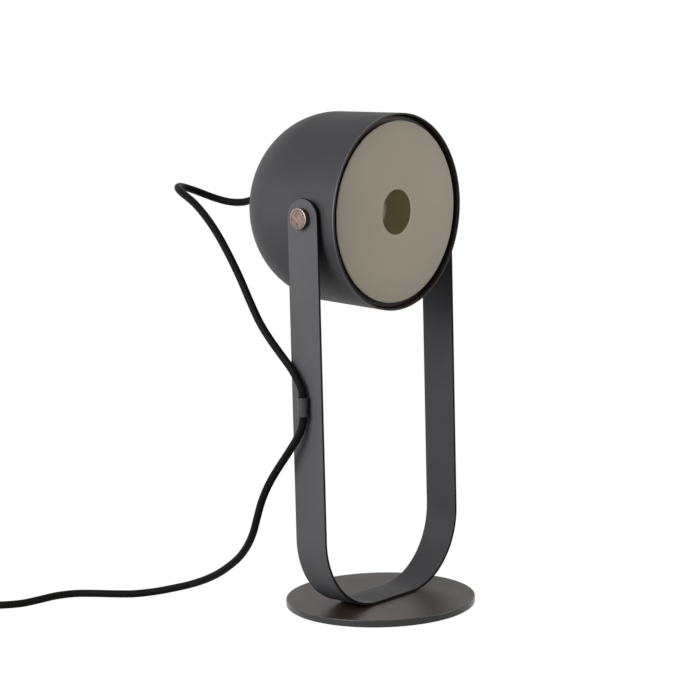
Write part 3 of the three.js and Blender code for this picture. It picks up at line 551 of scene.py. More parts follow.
def mesh_object(name, form, uvs=None):
    verts, faces, marks = form
    mesh = bpy.data.meshes.new(name)
    mesh.from_pydata([tuple(v) for v in verts], [], faces)
    mesh.polygons.foreach_set("material_index", marks)
    if uvs is not None:
        layer = mesh.uv_layers.new(name="along")
        layer.data.foreach_set("uv", [x for uv in uvs for x in uv])
    work = bmesh.new()
    work.from_mesh(mesh)
    bmesh.ops.recalc_face_normals(work, faces=work.faces)
    work.to_mesh(mesh)
    work.free()
    return link(bpy.data.objects.new(name, mesh))


def carve(obj, cutters):
    """Cuts the cutters' forms out of obj."""
    for form in cutters:
        tool = mesh_object("cutter", form)
        cut = obj.modifiers.new("cut", "BOOLEAN")
        cut.operation = "DIFFERENCE"
        cut.solver = "EXACT"
        cut.object = tool
        depsgraph = bpy.context.evaluated_depsgraph_get()
        carved = bpy.data.meshes.new_from_object(obj.evaluated_get(depsgraph))
        obj.modifiers.clear()
        obj.data = carved
        bpy.data.objects.remove(tool)


def smooth(obj):
    mesh = obj.data
    mesh.polygons.foreach_set("use_smooth", [True] * len(mesh.polygons))
    mesh.set_sharp_from_angle(angle=math.radians(SMOOTH_ANGLE))


def add_piece(name, form, replaced, body="stand", materials=(), cutters=()):
    """A named piece that rides on a body and stands for a CAD node. form is in the row frame."""
    slot = slots[replaced]
    obj = mesh_object(name, form)
    for material in materials or [made_materials[slot]]:
        obj.data.materials.append(material)
    carve(obj, cutters)
    smooth(obj)
    weighting = obj.modifiers.new("flat faces stay flat", "WEIGHTED_NORMAL")
    weighting.keep_sharp = True
    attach(obj, body)
    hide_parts(replaced)
    return obj


def add_head_piece(name, form, replaced, materials=(), cutters=()):
    """A piece of the head. form is in the head's own frame, the cutters are in the row frame."""
    add_piece(name, placed(form, head_place), replaced, "head", materials, cutters)


# Materials

def fill(tree, target, inputs):
    """Gives each input of a node its value, or a link from a socket."""
    for key, value in inputs.items():
        if isinstance(value, bpy.types.NodeSocket):
            tree.links.new(value, target.inputs[key])
        else:
            target.inputs[key].default_value = value


def node(tree, kind, inputs, **settings):
    made = tree.nodes.new(kind)
    for key, value in settings.items():
        setattr(made, key, value)
    fill(tree, made, inputs)
    return made


def math_node(tree, operation, first, second=0.0):
    return node(tree, "ShaderNodeMath", {0: first, 1: second}, operation=operation).outputs[0]


def ranged(tree, value, span, low=0.0, high=1.0):
    """value, taken from its span to the span from low to high."""
    inputs = {"Value": value, "From Min": span[0], "From Max": span[1], "To Min": low, "To Max": high}
    return node(tree, "ShaderNodeMapRange", inputs).outputs[0]


def mixed_colour(tree, share, first, second):
    """A Mix node has its two colours at inputs 6 and 7, and their mixture at output 2."""
    inputs = {"Factor": share, 6: (*first, 1), 7: (*second, 1)}
    return node(tree, "ShaderNodeMix", inputs, data_type="RGBA").outputs[2]


def varied(tree, value, colour, darkest, lightest):
    """A colour between darkest and lightest times itself, as value goes through its usual span."""
    shades = [tuple(c * factor for c in colour) for factor in (darkest, lightest)]
    return mixed_colour(tree, ranged(tree, value, COLOUR_NOISE), *shades)


def bumped(tree, height, strength, distance):
    inputs = {"Height": height, "Strength": strength, "Distance": distance}
    return node(tree, "ShaderNodeBump", inputs).outputs[0]


def mix_shaders(tree, output, share, first, second):
    mixed = node(tree, "ShaderNodeMixShader", {0: share, 1: first.outputs[0], 2: second.outputs[0]})
    tree.links.new(mixed.outputs[0], tree.nodes[output].inputs["Surface"])


made_materials = {}


def start_material(name):
    material = bpy.data.materials.new(name)
    made_materials[name] = material
    material.use_nodes = True
    tree = material.node_tree
    return material, tree, tree.nodes["Principled BSDF"]


def object_place(tree):
    return node(tree, "ShaderNodeTexCoord", {}).outputs["Object"]


def noise_value(tree, scale, detail=2.0, roughness=0.5, stretch=None, turn=0):
    """Noise in the object's own coordinates, with about scale lumps to a metre. turn is about X."""
    place = object_place(tree)
    if stretch:
        aligned = node(tree, "ShaderNodeMapping", {"Vector": place, "Rotation": (math.radians(turn), 0, 0)})
        place = node(tree, "ShaderNodeMapping", {"Vector": aligned.outputs[0], "Scale": stretch}).outputs[0]
    inputs = {"Vector": place, "Scale": scale, "Detail": detail, "Roughness": roughness}
    return node(tree, "ShaderNodeTexNoise", inputs).outputs["Fac"]


def painted(name, colour, roughness, specular, grain=1500, grain_height=0.03 * MM):
    """Powder coat: fine grain in the bump, faint mottling in colour and gloss."""
    material, tree, shader = start_material(name)
    mottle = noise_value(tree, scale=23, detail=4)
    fill(tree, shader, {
        "Base Color": varied(tree, mottle, colour, darkest=0.95, lightest=1.05),
        "Roughness": ranged(tree, mottle, GLOSS_NOISE, roughness - 0.04, roughness + 0.04),
        "Specular IOR Level": specular,
        "Normal": bumped(tree, noise_value(tree, grain, detail=3), strength=0.35, distance=grain_height),
    })
    return material


def brushed(name, dark, light, roughness, turn=0):
    """Brushed metal: long scratches one way, in colour, gloss and bump."""
    material, tree, shader = start_material(name)
    streaks = noise_value(tree, scale=120, detail=6, roughness=0.65, stretch=(1, 14, 1), turn=turn)
    patches = noise_value(tree, scale=260, detail=3)
    streak_part = math_node(tree, "MULTIPLY", streaks, 0.7)
    both = math_node(tree, "ADD", streak_part, math_node(tree, "MULTIPLY", patches, 0.3))
    fill(tree, shader, {
        "Base Color": mixed_colour(tree, ranged(tree, both, COLOUR_NOISE), dark, light),
        "Metallic": 1.0,
        "Roughness": ranged(tree, streaks, GLOSS_NOISE, roughness - 0.08, roughness + 0.1),
        "Normal": bumped(tree, streaks, strength=0.5, distance=0.03 * MM),
    })
    return material


def moulded(name, colour, roughness, specular=0.2):
    """Moulded plastic with a spark-eroded texture."""
    material, tree, shader = start_material(name)
    large = noise_value(tree, scale=60, detail=3)
    fill(tree, shader, {
        "Base Color": varied(tree, large, colour, darkest=0.92, lightest=1.1),
        "Roughness": ranged(tree, large, GLOSS_NOISE, roughness - 0.04, roughness + 0.05),
        "Specular IOR Level": specular,
        "Normal": bumped(tree, noise_value(tree, scale=2600), strength=0.4, distance=0.03 * MM),
    })
    return material


def opal(name, colour, through, share, roughness):
    """Opal plastic or glass that lets some light through, with faint clouds."""
    material, tree, shader = start_material(name)
    clouds = noise_value(tree, scale=17, detail=3)
    fill(tree, shader, {
        "Base Color": varied(tree, clouds, colour, darkest=0.97, lightest=1.03),
        "Roughness": roughness,
        "Specular IOR Level": 0.15,
        "Normal": bumped(tree, noise_value(tree, scale=900), strength=0.15, distance=0.02 * MM),
    })
    glow = node(tree, "ShaderNodeBsdfTranslucent", {"Color": (*through, 1)})
    mix_shaders(tree, "Material Output", share, shader, glow)
    return material


def braided(name, shaded_gap_colour, strand_colour, roughness):
    """Textile braid: two families of strands cross over and under each other along the cord. The low parts
    between the strands take a darker colour: painted shade.
    """
    material, tree, shader = start_material(name)
    uv = node(tree, "ShaderNodeUVMap", {}, uv_map="along").outputs[0]
    parts = node(tree, "ShaderNodeSeparateXYZ", {0: uv}).outputs
    round_it = math_node(tree, "MULTIPLY", parts[0], BRAID_STRANDS)
    along = math_node(tree, "DIVIDE", parts[1], BRAID_PICK)
    profiles = []
    cells = []
    for operation in ("ADD", "SUBTRACT"):
        phase = math_node(tree, operation, round_it, along)
        share = math_node(tree, "FRACT", phase)
        profiles.append(math_node(tree, "SINE", math_node(tree, "MULTIPLY", share, math.pi)))
        cells.append(math_node(tree, "FLOOR", phase))
    which = math_node(tree, "FLOORED_MODULO", math_node(tree, "ADD", *cells), 2.0)
    over = node(tree, "ShaderNodeMix", {0: which, 2: profiles[0], 3: profiles[1]}, data_type="FLOAT")
    height = math_node(tree, "POWER", over.outputs[0], 0.7)
    fuzz = math_node(tree, "MULTIPLY", noise_value(tree, scale=3000), 0.25)
    relief = math_node(tree, "ADD", height, fuzz)
    fill(tree, shader, {
        # Colour follows the braid's height, darkest in the gaps: painted shade
        "Base Color": mixed_colour(tree, height, shaded_gap_colour, strand_colour),
        "Roughness": roughness,
        "Specular IOR Level": 0.03,
        "Normal": bumped(tree, relief, strength=0.6, distance=0.18 * MM),
    })
    return material


def webbing(name, colour):
    """Woven nylon strip with a fine rib."""
    material, tree, shader = start_material(name)
    inputs = {"Vector": object_place(tree), "Scale": 420, "Distortion": 1.5, "Detail": 1}
    rib = node(tree, "ShaderNodeTexWave", inputs, wave_type="BANDS", bands_direction="DIAGONAL")
    value = rib.outputs["Fac"]
    fill(tree, shader, {
        "Base Color": varied(tree, value, colour, darkest=0.7, lightest=1.3),
        "Roughness": 0.75,
        "Specular IOR Level": 0.15,
        "Normal": bumped(tree, value, strength=0.5, distance=0.1 * MM),
    })
    return material


anthracite = painted("anthracite_paint", (0.034, 0.033, 0.0355), 0.52, 0.14)
inner_paint = painted("anthracite_paint_inside", (0.78, 0.74, 0.58), 0.65, 0.1)
# A darker, brown-tinted copy of the anthracite for the lip's front, the inner wall in front of the ring and
# the ledge ring: painted shade in the recess round the diffuser, with a painted brown reflection
recess_shade_paint = painted("anthracite_paint_lip", (0.030, 0.024, 0.021), 0.45, 0.12)
# A lighter, glossier copy of the anthracite for the lip's outer rounding and a band of side behind it: its
# lighter colour is a painted highlight along the rim, its extra gloss is the paint's own
lip_highlight = painted("anthracite_paint_lip_edge", (0.07, 0.07, 0.075), 0.36, 0.4, grain_height=0.02 * MM)
strap_paint = painted("strap_paint", (0.070, 0.069, 0.073), 0.52, 0.06, 1300)
# A near-black copy of the strap paint for the strap's edges: painted shade on edges that face away from the
# light
strap_shade_paint = painted("strap_paint_shaded_edge", (0.012, 0.011, 0.012), 0.5, 0.04, 1300)
# The base's top and rim take two copies of one paint: the top's warm tint is painted warm light, the rim's
# lighter neutral colour is painted light, and each has its own gloss
base_paint = painted("base_paint", (0.021, 0.0145, 0.0115), 0.44, 0.22, 1100, 0.05 * MM)
base_rim_lit_paint = painted("base_paint_side", (0.030, 0.030, 0.030), 0.28, 0.32, 1100, 0.05 * MM)
aged_brass = brushed("aged_brass", (0.024, 0.023, 0.017), (0.19, 0.135, 0.11), 0.42, turn=40)
# A lighter copy of the brass for the rounded edge of the knob's face: a painted highlight, the bright arc
# along that edge
brass_highlight = brushed("aged_brass_highlight", (0.16, 0.14, 0.13), (0.34, 0.30, 0.28), 0.34, turn=40)
zinc = brushed("zinc_steel", (0.34, 0.34, 0.33), (0.56, 0.56, 0.55), 0.34)
brushed("contact_brass", (0.45, 0.33, 0.14), (0.68, 0.52, 0.25), 0.3)
opal_plastic = opal("opal_plastic", (0.60, 0.56, 0.49), (0.80, 0.77, 0.70), 0.45, 0.5)
# A dark brown plastic in place of the opal on the diffuser's side wall: painted shade in the gap between the
# diffuser and the lip
diffuser_side_shade = moulded("opal_plastic_shaded_side", (0.05, 0.042, 0.034), 0.5)
opal("opal_glass", (0.86, 0.82, 0.76), (0.8, 0.75, 0.65), 0.2, 0.22)
black_plastic = moulded("black_plastic", (0.02, 0.02, 0.021), 0.48)
guide_plastic = moulded("black_plastic_guide", (0.034, 0.034, 0.035), 0.36, 0.25)
moulded("black_nylon", (0.026, 0.026, 0.027), 0.42)
# The first colour is for the gaps between the strands: painted shade
black_textile = braided("black_textile", (0.001, 0.001, 0.001), (0.008, 0.0078, 0.0073), 0.42)
tie_webbing = webbing("black_nylon_webbing", (0.02, 0.02, 0.021))
moulded("rubber_pad", (0.03, 0.03, 0.03), 0.85, 0.1)


# Pieces of the stand

def make_base():
    thickness = base_high.z - base_low.z
    profile = open_profile([
        (0, 0),
        (base_high.x, 0, BASE_FOOT_ROUND),
        (base_high.x, thickness, BASE_TOP_ROUND),
        (0, thickness),
    ])
    place = shifted(0, 0, base_low.z) @ about_z
    disc = placed(lathe(profile, FINE, changes=(len(profile) - 2,)), place)
    stud_hole = rod_form(STUD_HOLE_RADIUS, -MM, thickness - STUD_HOLE_COVER)
    counterbore = rod_form(COUNTERBORE_RADIUS, -MM, COUNTERBORE_DEPTH)
    cutters = []
    for side in (-1, 1):
        middle = shifted(side * STUD_SPREAD, 0, 0) @ place
        cutters += [placed(stud_hole, middle), placed(counterbore, middle)]
    # The underside and rim take the lighter neutral copy, the top the warm one: painted light
    add_piece("base_disc", disc, "base_plate", "stand", [base_rim_lit_paint, base_paint], cutters)


def strap_stations():
    """Distances along the strap's middle line from the middle of its foot, closer together in the bend."""
    flat = strap_high.x - STRAP_THICKNESS - STRAP_BEND_RADIUS
    bend = (STRAP_BEND_RADIUS + STRAP_THICKNESS / 2) * math.pi / 2
    arm = pivot.z - (base_high.z + STRAP_THICKNESS + STRAP_BEND_RADIUS)
    stations = []
    for start, length, step in ((0, flat, ARM_STEP), (flat, bend, BEND_STEP), (flat + bend, arm, ARM_STEP)):
        count = math.ceil(length / step)
        stations += [start + length * k / count for k in range(count)]
    return stations, flat, bend, flat + bend + arm


def make_strap():
    stations, flat, bend, reach = strap_stations()
    half_thickness = STRAP_THICKNESS / 2
    middle_radius = STRAP_BEND_RADIUS + half_thickness
    foot = base_high.z + half_thickness

    def on_strap(along, aside, rise):
        """The place at a distance along the strap, aside from its middle line and above its sheet."""
        side = math.copysign(1, along)
        distance = abs(along)
        if distance <= flat:
            return Vector((along, aside, foot + rise))
        if distance <= flat + bend:
            angle = (distance - flat) / middle_radius
            radius = middle_radius - rise
            x = flat + radius * math.sin(angle)
            return Vector((side * x, aside, foot + middle_radius - radius * math.cos(angle)))
        x = flat + middle_radius - rise
        return Vector((side * x, aside, foot + middle_radius + distance - flat - bend))

    verts = []
    rows = []
    for inset, rise in edge_levels(-half_thickness, half_thickness, STRAP_EDGE_ROUND, steps=4):
        half = strap_high.y - inset
        row = []
        for k in range(-CAP_STEPS, CAP_STEPS + 1):
            angle = math.pi / 2 * k / CAP_STEPS
            row.append((reach + half * math.cos(angle), half * math.sin(angle)))
        row += [(s, half) for s in reversed(stations)] + [(-s, half) for s in stations[1:]]
        row += [(-a, -b) for a, b in row]
        rows.append(range(len(verts), len(verts) + len(row)))
        verts += [on_strap(a, b, rise) for a, b in row]
    count = len(rows[0])
    faces = faces_between(len(rows), count)
    # The edge faces take material 1, the near-black copy of the strap paint: painted shade
    marks = [1] * len(faces)
    # The two broad faces: strips across the strap, from each point of one edge to its mirror point
    half_count = count // 2
    for row in (rows[0], rows[-1]):
        for i in range(half_count):
            a = row[(CAP_STEPS + i) % count]
            b = row[(CAP_STEPS + i + 1) % count]
            c = row[(CAP_STEPS - i - 1) % count]
            d = row[(CAP_STEPS - i) % count]
            faces.append((a, b, c) if i == 0 else (a, b, c, d) if i < half_count - 1 else (a, b, d))
            marks.append(0)
    cutters = []
    left = 90
    right = -90
    for radius, height, side in (
        (PIVOT_HOLE_RADIUS, pivot.z, left), (PIVOT_HOLE_RADIUS, pivot.z, right),
        (PEG_HOLE_RADIUS, guide_middle, left),
    ):
        hole = rod_form(radius, strap_high.x - 2 * STRAP_THICKNESS, strap_high.x + MM)
        cutters.append(placed(hole, shifted(0, 0, height) @ turned(side, "Z")))
    form = (verts, faces, marks)
    add_piece("bent_strap", form, "bracket", "stand", [strap_paint, strap_shade_paint], cutters)


def make_guide():
    half = (guide_high.z - guide_low.z) / 2
    rim = half - GUIDE_RIM_HEIGHT
    waist = GUIDE_RADIUS - GUIDE_RIM_DEPTH
    crease = GUIDE_RIM_DEPTH / 3
    body = lathe(mirrored([
        (GUIDE_BORE_RADIUS, -half, GUIDE_EDGE_ROUND),
        (GUIDE_RADIUS, -half, GUIDE_EDGE_ROUND),
        (GUIDE_RADIUS, -rim, crease),
        (waist, GUIDE_RIM_DEPTH - rim, crease),
    ]), SMALL)
    side = GUIDE_FOOT_SETBACK - half
    foot = slab(
        rectangle(GUIDE_BORE_RADIUS + GUIDE_FOOT_CLEARANCE, GUIDE_RADIUS, GUIDE_FOOT_WIDTH / 2),
        edge_levels(side, -side, GUIDE_FOOT_ROUND),
    )
    peg = rod_form(GUIDE_PEG_RADIUS, GUIDE_RADIUS - GUIDE_PEG_ROOT, GUIDE_RADIUS + GUIDE_PEG_LENGTH)
    form = joined(placed(body, about_z), foot, placed(peg, turned(-90, "Z")))
    place = shifted(guide_axis_x, 0, guide_middle)
    add_piece("guide_sleeve", placed(form, place), "cord_guide", "stand", [guide_plastic])


# Pivots

def make_pivots():
    for name, side in (("left", -1), ("right", 1)):
        out = Matrix.Translation(pivot) @ turned(-90 * side, "Z")
        seat = strap_high.x + FIT_GAP
        end = seat + KNOB_THICKNESS
        dish = KNOB_DISH_DEPTH / 2
        knob = lathe(open_profile([
            (0, KNOB_STUD_END),
            (KNOB_STUD_RADIUS, KNOB_STUD_END, KNOB_EDGE_ROUND),
            (KNOB_STUD_RADIUS, seat),
            (KNOB_RADIUS, seat, KNOB_EDGE_ROUND / 2),
            (KNOB_RADIUS, end, KNOB_EDGE_ROUND),
            (KNOB_DISH_RADIUS, end, dish),
            (KNOB_DISH_RADIUS - KNOB_DISH_DEPTH, end - KNOB_DISH_DEPTH, dish),
            (0, end - KNOB_DISH_DEPTH),
        ]), MEDIUM, changes=(2 * ARC_STEPS + 4, 3 * ARC_STEPS + 4))
        # The rounded edge of the knob's face takes the lighter brass: a painted highlight
        metals = [aged_brass, brass_highlight, aged_brass]
        screw = "thumb_screw_" + name
        add_piece("thumb_knob_" + name, placed(knob, out), "knob_" + name, screw, metals)
        low, high = spans("spacer_" + name)
        near = min(abs(low.x), abs(high.x))
        far = max(abs(low.x), abs(high.x))
        spacer = lathe(rounded([
            (PIVOT_HOLE_RADIUS, near, SPACER_EDGE_ROUND),
            (SPACER_RADIUS, near, SPACER_EDGE_ROUND),
            (SPACER_RADIUS, far, SPACER_EDGE_ROUND),
            (PIVOT_HOLE_RADIUS, far, SPACER_EDGE_ROUND),
        ]), MEDIUM)
        add_piece("nylon_spacer_" + name, placed(spacer, out), "spacer_" + name, "head")


# Pieces of the head, in the head's own frame

def side_radius(forward):
    share = (forward + EQUATOR_BACK) / (MOUTH_FORWARD + EQUATOR_BACK)
    return EQUATOR_RADIUS + (MOUTH_RADIUS - EQUATOR_RADIUS) * share


def dome_profile(radius, length, seat_back):
    last = math.asin((seat_back - EQUATOR_BACK) / length)
    angles = [last * i / DOME_STEPS for i in range(DOME_STEPS + 1)]
    return [(radius * math.cos(a), EQUATOR_BACK + length * math.sin(a)) for a in angles]


def make_shade():
    lip = SHADE_WALL / 2 * LIP_ROUND_SHARE
    inside_seat = rear_seat_back - SHADE_WALL
    mouth = open_profile([
        (MOUTH_RADIUS - SHADE_WALL, 0),
        (MOUTH_RADIUS - SHADE_WALL, -MOUTH_FORWARD, lip),
        (MOUTH_RADIUS, -MOUTH_FORWARD, lip),
        (EQUATOR_RADIUS, EQUATOR_BACK),
    ], 6)[1:-1]
    # The last step of the lip's outer rounding and the band of side up to here take the lighter lip paint: a
    # painted highlight
    mouth.append((side_radius(MOUTH_FORWARD - LIP_HIGHLIGHT_BAND), LIP_HIGHLIGHT_BAND - MOUTH_FORWARD))
    outer = dome_profile(EQUATOR_RADIUS, DOME_LENGTH, rear_seat_back)
    inner = dome_profile(EQUATOR_RADIUS - SHADE_WALL, DOME_LENGTH - SHADE_WALL, inside_seat)
    seat = [(NIPPLE_HOLE_RADIUS, rear_seat_back), (NIPPLE_HOLE_RADIUS, inside_seat)]
    ring_back = RING_FORWARD - RING_DEPTH
    profile = mouth + outer + seat + inner[::-1] + [(side_radius(ring_back) - SHADE_WALL, -ring_back)]
    form = lathe(profile, FINE, changes=(
        len(mouth) - 3, len(mouth) - 1, len(mouth) + len(outer) + 1, len(profile) - 1,
    ))
    # The lip's front and the inner wall in front of the ring take the dark recess paint: painted shade. The
    # lip's outer edge takes the lighter lip paint: a painted highlight.
    paints = [recess_shade_paint, lip_highlight, anthracite, inner_paint, recess_shade_paint]
    hole = rod_form(PIVOT_HOLE_RADIUS, -MOUTH_RADIUS - MM, MOUTH_RADIUS + MM)
    cutter = placed(hole, head_place @ turned(90, "Z"))
    add_head_piece("spun_shade", form, "shade", paints, [cutter])


def make_ring():
    outer = side_radius(RING_FORWARD - RING_DEPTH) - SHADE_WALL - FIT_GAP
    edge = RING_SHEET / 3
    form = lathe(rounded([
        (RING_INNER_RADIUS, -RING_FORWARD, edge),
        (outer, -RING_FORWARD, RING_SHEET),
        (outer, RING_DEPTH - RING_FORWARD, edge),
        (outer - RING_SHEET, RING_DEPTH - RING_FORWARD, edge),
        (outer - RING_SHEET, RING_SHEET - RING_FORWARD, edge),
        (RING_INNER_RADIUS, RING_SHEET - RING_FORWARD, edge),
    ]), FINE)
    # The ring takes the dark recess paint: painted shade seen through the gap round the diffuser
    add_head_piece("ledge_ring", form, "diffuser_ring", [recess_shade_paint])


def make_diffuser():
    back = DIFFUSER_FORWARD - DIFFUSER_THICKNESS
    steps = 6
    disc = lathe(rounded([
        (FINGER_HOLE_RADIUS, -DIFFUSER_FORWARD, FINGER_HOLE_ROUND),
        (DIFFUSER_RADIUS, -DIFFUSER_FORWARD, DIFFUSER_EDGE_ROUND),
        (DIFFUSER_RADIUS, -back, DIFFUSER_EDGE_ROUND / 3),
        (FINGER_HOLE_RADIUS + FINGER_HOLE_FLARE, -back, FINGER_HOLE_ROUND / 3),
        (FINGER_HOLE_RADIUS, FINGER_HOLE_LAND - DIFFUSER_FORWARD, FINGER_HOLE_ROUND / 3),
    ], steps), FINE, changes=(2 * steps + 1, 2 * steps + 2))
    hook_front = RING_SHEET + FIT_GAP - RING_FORWARD
    hook_back = hook_front + HOOK_HEIGHT
    leg_outer = LEG_INNER_RADIUS + LEG_THICKNESS
    root = -(DIFFUSER_FORWARD + back) / 2
    outline = rounded([
        (LEG_INNER_RADIUS, root),
        (leg_outer, root),
        (leg_outer, hook_front),
        (leg_outer + HOOK_REACH, hook_front, LEG_EDGE_ROUND),
        (leg_outer, hook_back, LEG_EDGE_ROUND),
        (LEG_INNER_RADIUS, hook_back, LEG_EDGE_ROUND),
    ], 2)
    leg = slab(outline, edge_levels(-LEG_WIDTH / 2, LEG_WIDTH / 2, LEG_EDGE_ROUND, steps=2))
    turns = [360 * (i + LEG_PHASE_SHARE) / LEG_COUNT for i in range(LEG_COUNT)]
    form = joined(disc, *(placed(leg, turned(turn, "Y")) for turn in turns))
    # The disc's side wall takes the dark plastic: painted shade in the gap round the diffuser
    sides = [opal_plastic, diffuser_side_shade, opal_plastic]
    add_head_piece("opal_diffuser", form, "diffuser", sides)


def make_relief():
    flange_front = rear_seat_back + FIT_GAP
    flange_back = flange_front + RELIEF_FLANGE_HEIGHT
    form = lathe(rounded([
        (NIPPLE_HOLE_RADIUS, flange_front),
        (RELIEF_FLANGE_RADIUS, flange_front, RELIEF_EDGE_ROUND),
        (RELIEF_FLANGE_RADIUS, flange_back, RELIEF_FLANGE_ROUND),
        (RELIEF_NECK_RADIUS, flange_back, RELIEF_EDGE_ROUND),
        *grooved_taper(
            RELIEF_TAPER_START, RELIEF_END, RELIEF_SHOULDER_RADIUS, RELIEF_TIP_RADIUS,
            RELIEF_GROOVES, RELIEF_GROOVE_DEPTH, RELIEF_EDGE_ROUND,
        ),
        (RELIEF_BORE_RADIUS, RELIEF_END, RELIEF_EDGE_ROUND),
        (RELIEF_BORE_RADIUS, RELIEF_TAPER_START),
        (NIPPLE_HOLE_RADIUS, RELIEF_TAPER_START),
    ], 4), SMALL)
    add_head_piece("cord_relief", form, "strain_relief")


def make_lampholder():
    inner_radius = HOLDER_CAP_RADIUS - HOLDER_CAP_WALL
    inner_end = HOLDER_CAP_REAR - HOLDER_CAP_WALL
    cap = lathe(rounded([
        (inner_radius, HOLDER_CAP_FRONT),
        (HOLDER_CAP_RADIUS, HOLDER_CAP_FRONT, HOLDER_EDGE_ROUND / 2),
        (HOLDER_CAP_RADIUS, HOLDER_CAP_REAR, HOLDER_CAP_ROUND),
        (NIPPLE_HOLE_RADIUS, HOLDER_CAP_REAR),
        (NIPPLE_HOLE_RADIUS, inner_end),
        (inner_radius, inner_end, HOLDER_CAP_ROUND - HOLDER_CAP_WALL),
    ]), MEDIUM)
    add_head_piece("lampholder_cap", cap, "holder_cap")
    floor = HOLDER_FRONT + HOLDER_BORE_DEPTH
    body = lathe(open_profile([
        (0, floor),
        (HOLDER_BORE_RADIUS, floor),
        (HOLDER_BORE_RADIUS, HOLDER_FRONT, HOLDER_EDGE_ROUND / 2),
        (HOLDER_RADIUS, HOLDER_FRONT, HOLDER_EDGE_ROUND),
        *grooved_taper(
            HOLDER_FRONT + HOLDER_PLAIN_END, HOLDER_REAR - HOLDER_PLAIN_END, HOLDER_RADIUS, HOLDER_RADIUS,
            HOLDER_GROOVES, HOLDER_GROOVE_DEPTH, HOLDER_GROOVE_DEPTH / 2,
        ),
        (HOLDER_RADIUS, HOLDER_REAR, HOLDER_EDGE_ROUND / 2),
        (0, HOLDER_REAR),
    ], 3), MEDIUM)
    add_head_piece("lampholder_body", body, "holder_body")


def make_bulb():
    middle = BULB_RADIUS - BULB_TIP_FORWARD
    last = math.pi - math.asin(BULB_NECK_RADIUS / BULB_RADIUS)
    profile = [(0, -BULB_TIP_FORWARD)]
    for i in range(1, GLOBE_STEPS + 1):
        angle = last * i / GLOBE_STEPS
        profile.append((BULB_RADIUS * math.sin(angle), middle - BULB_RADIUS * math.cos(angle)))
    profile += [(BULB_NECK_RADIUS, BULB_NECK_BACK), (0, BULB_NECK_BACK)]
    add_head_piece("globe_bulb", lathe(profile, MEDIUM), "bulb_globe")


# The cord, from the strain relief through the guide and the switch to the coil and the plug

def coil_radius(degrees):
    reverse = COIL_DEGREES / 2
    return COIL_RADIUS - COIL_PITCH * (reverse - abs(degrees - reverse)) / 360


def coil_point(degrees):
    """A point of the coil's middle line in the storage frame. It winds in on the table and out on top."""
    angle = math.radians(degrees)
    share = (degrees - (COIL_DEGREES - COIL_CLIMB_DEGREES) / 2) / COIL_CLIMB_DEGREES
    share = min(max(share, 0), 1)
    rise = share * share * (3 - 2 * share)
    radius = coil_radius(degrees)
    return Vector((
        COIL_ALONG + radius * math.sin(angle),
        radius * math.cos(angle) - COIL_RADIUS,
        COIL_LIFT + CORD_RADIUS + COIL_PITCH * rise,
    ))


coil_end = coil_point(COIL_DEGREES)
coil_end_direction = (coil_end - coil_point(COIL_DEGREES - 1)).normalized()
plug_start = coil_end + coil_end_direction * (COIL_STRAIGHT + PLUG_LEAD)
plug_turn = math.degrees(math.atan2(coil_end_direction.y, coil_end_direction.x))
plug_place = storage_place @ shifted(plug_start.x, plug_start.y, 0) @ turned(plug_turn, "Z")


def smooth_line(points, step):
    """A centripetal curve through points, in steps of about one length."""
    ends = [2 * points[0] - points[1], *points, 2 * points[-1] - points[-2]]
    line = []
    for i in range(1, len(ends) - 2):
        a, b, c, d = ends[i - 1:i + 3]
        first, second, third = (max((q - p).length, MM) ** 0.5 for p, q in ((a, b), (b, c), (c, d)))
        start = ((b - a) / first - (c - a) / (first + second) + (c - b) / second) * second
        end = ((c - b) / second - (d - b) / (second + third) + (d - c) / third) * second
        square = 3 * (c - b) - 2 * start - end
        cube = 2 * (b - c) + start + end
        count = max(1, round((c - b).length / step))
        for k in range(count):
            t = k / count
            line.append(b + start * t + square * t ** 2 + cube * t ** 3)
    line.append(points[-1])
    return line


def cord_path():
    starts = (RELIEF_END - CORD_INSERTION, RELIEF_END + CORD_STRAIGHT_OUT)
    free = [head_place @ Vector((0, along, 0)) for along in starts]
    free += [Vector(p) * MM for p in HEAD_RUN + MAIN_RUN]
    raised = COIL_LIFT + CORD_RADIUS
    switch_axis = [
        Vector((SWITCH_LENGTH / 4, 0, SWITCH_SEAM)),
        Vector((SWITCH_LENGTH * 3 / 4, 0, SWITCH_SEAM)),
        Vector((SWITCH_LENGTH, 0, SWITCH_SEAM)),
        Vector((SWITCH_LENGTH + COIL_STRAIGHT, 0, SWITCH_SEAM)),
        Vector((COIL_ALONG - 2 * COIL_STRAIGHT, 0, raised)),
        Vector((COIL_ALONG - COIL_STRAIGHT, 0, raised)),
    ]
    line = smooth_line(free + [storage_place @ p for p in switch_axis], CORD_STEP)
    line += [storage_place @ coil_point(a) for a in range(0, COIL_DEGREES + 1, COIL_STEP_DEGREES)]
    straight = coil_end_direction * COIL_STRAIGHT
    lead = [coil_end + straight, coil_end + 2 * straight, plug_start - straight, plug_start + straight]
    for point in lead[2:]:
        point.z = PLUG_THICKNESS / 2
    line += smooth_line([storage_place @ p for p in lead], CORD_STEP)
    return line


def make_cord():
    path = cord_path()
    form, uvs = tube(path, CORD_RADIUS, CORD_SIDES)
    obj = mesh_object("textile_cord", form, uvs)
    obj.data.materials.append(black_textile)
    smooth(obj)
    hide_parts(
        "cord_head_run", "cord_main_run", "cord_switch_run", "cord_coil", "cord_plug_run"
    )
    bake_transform(obj)


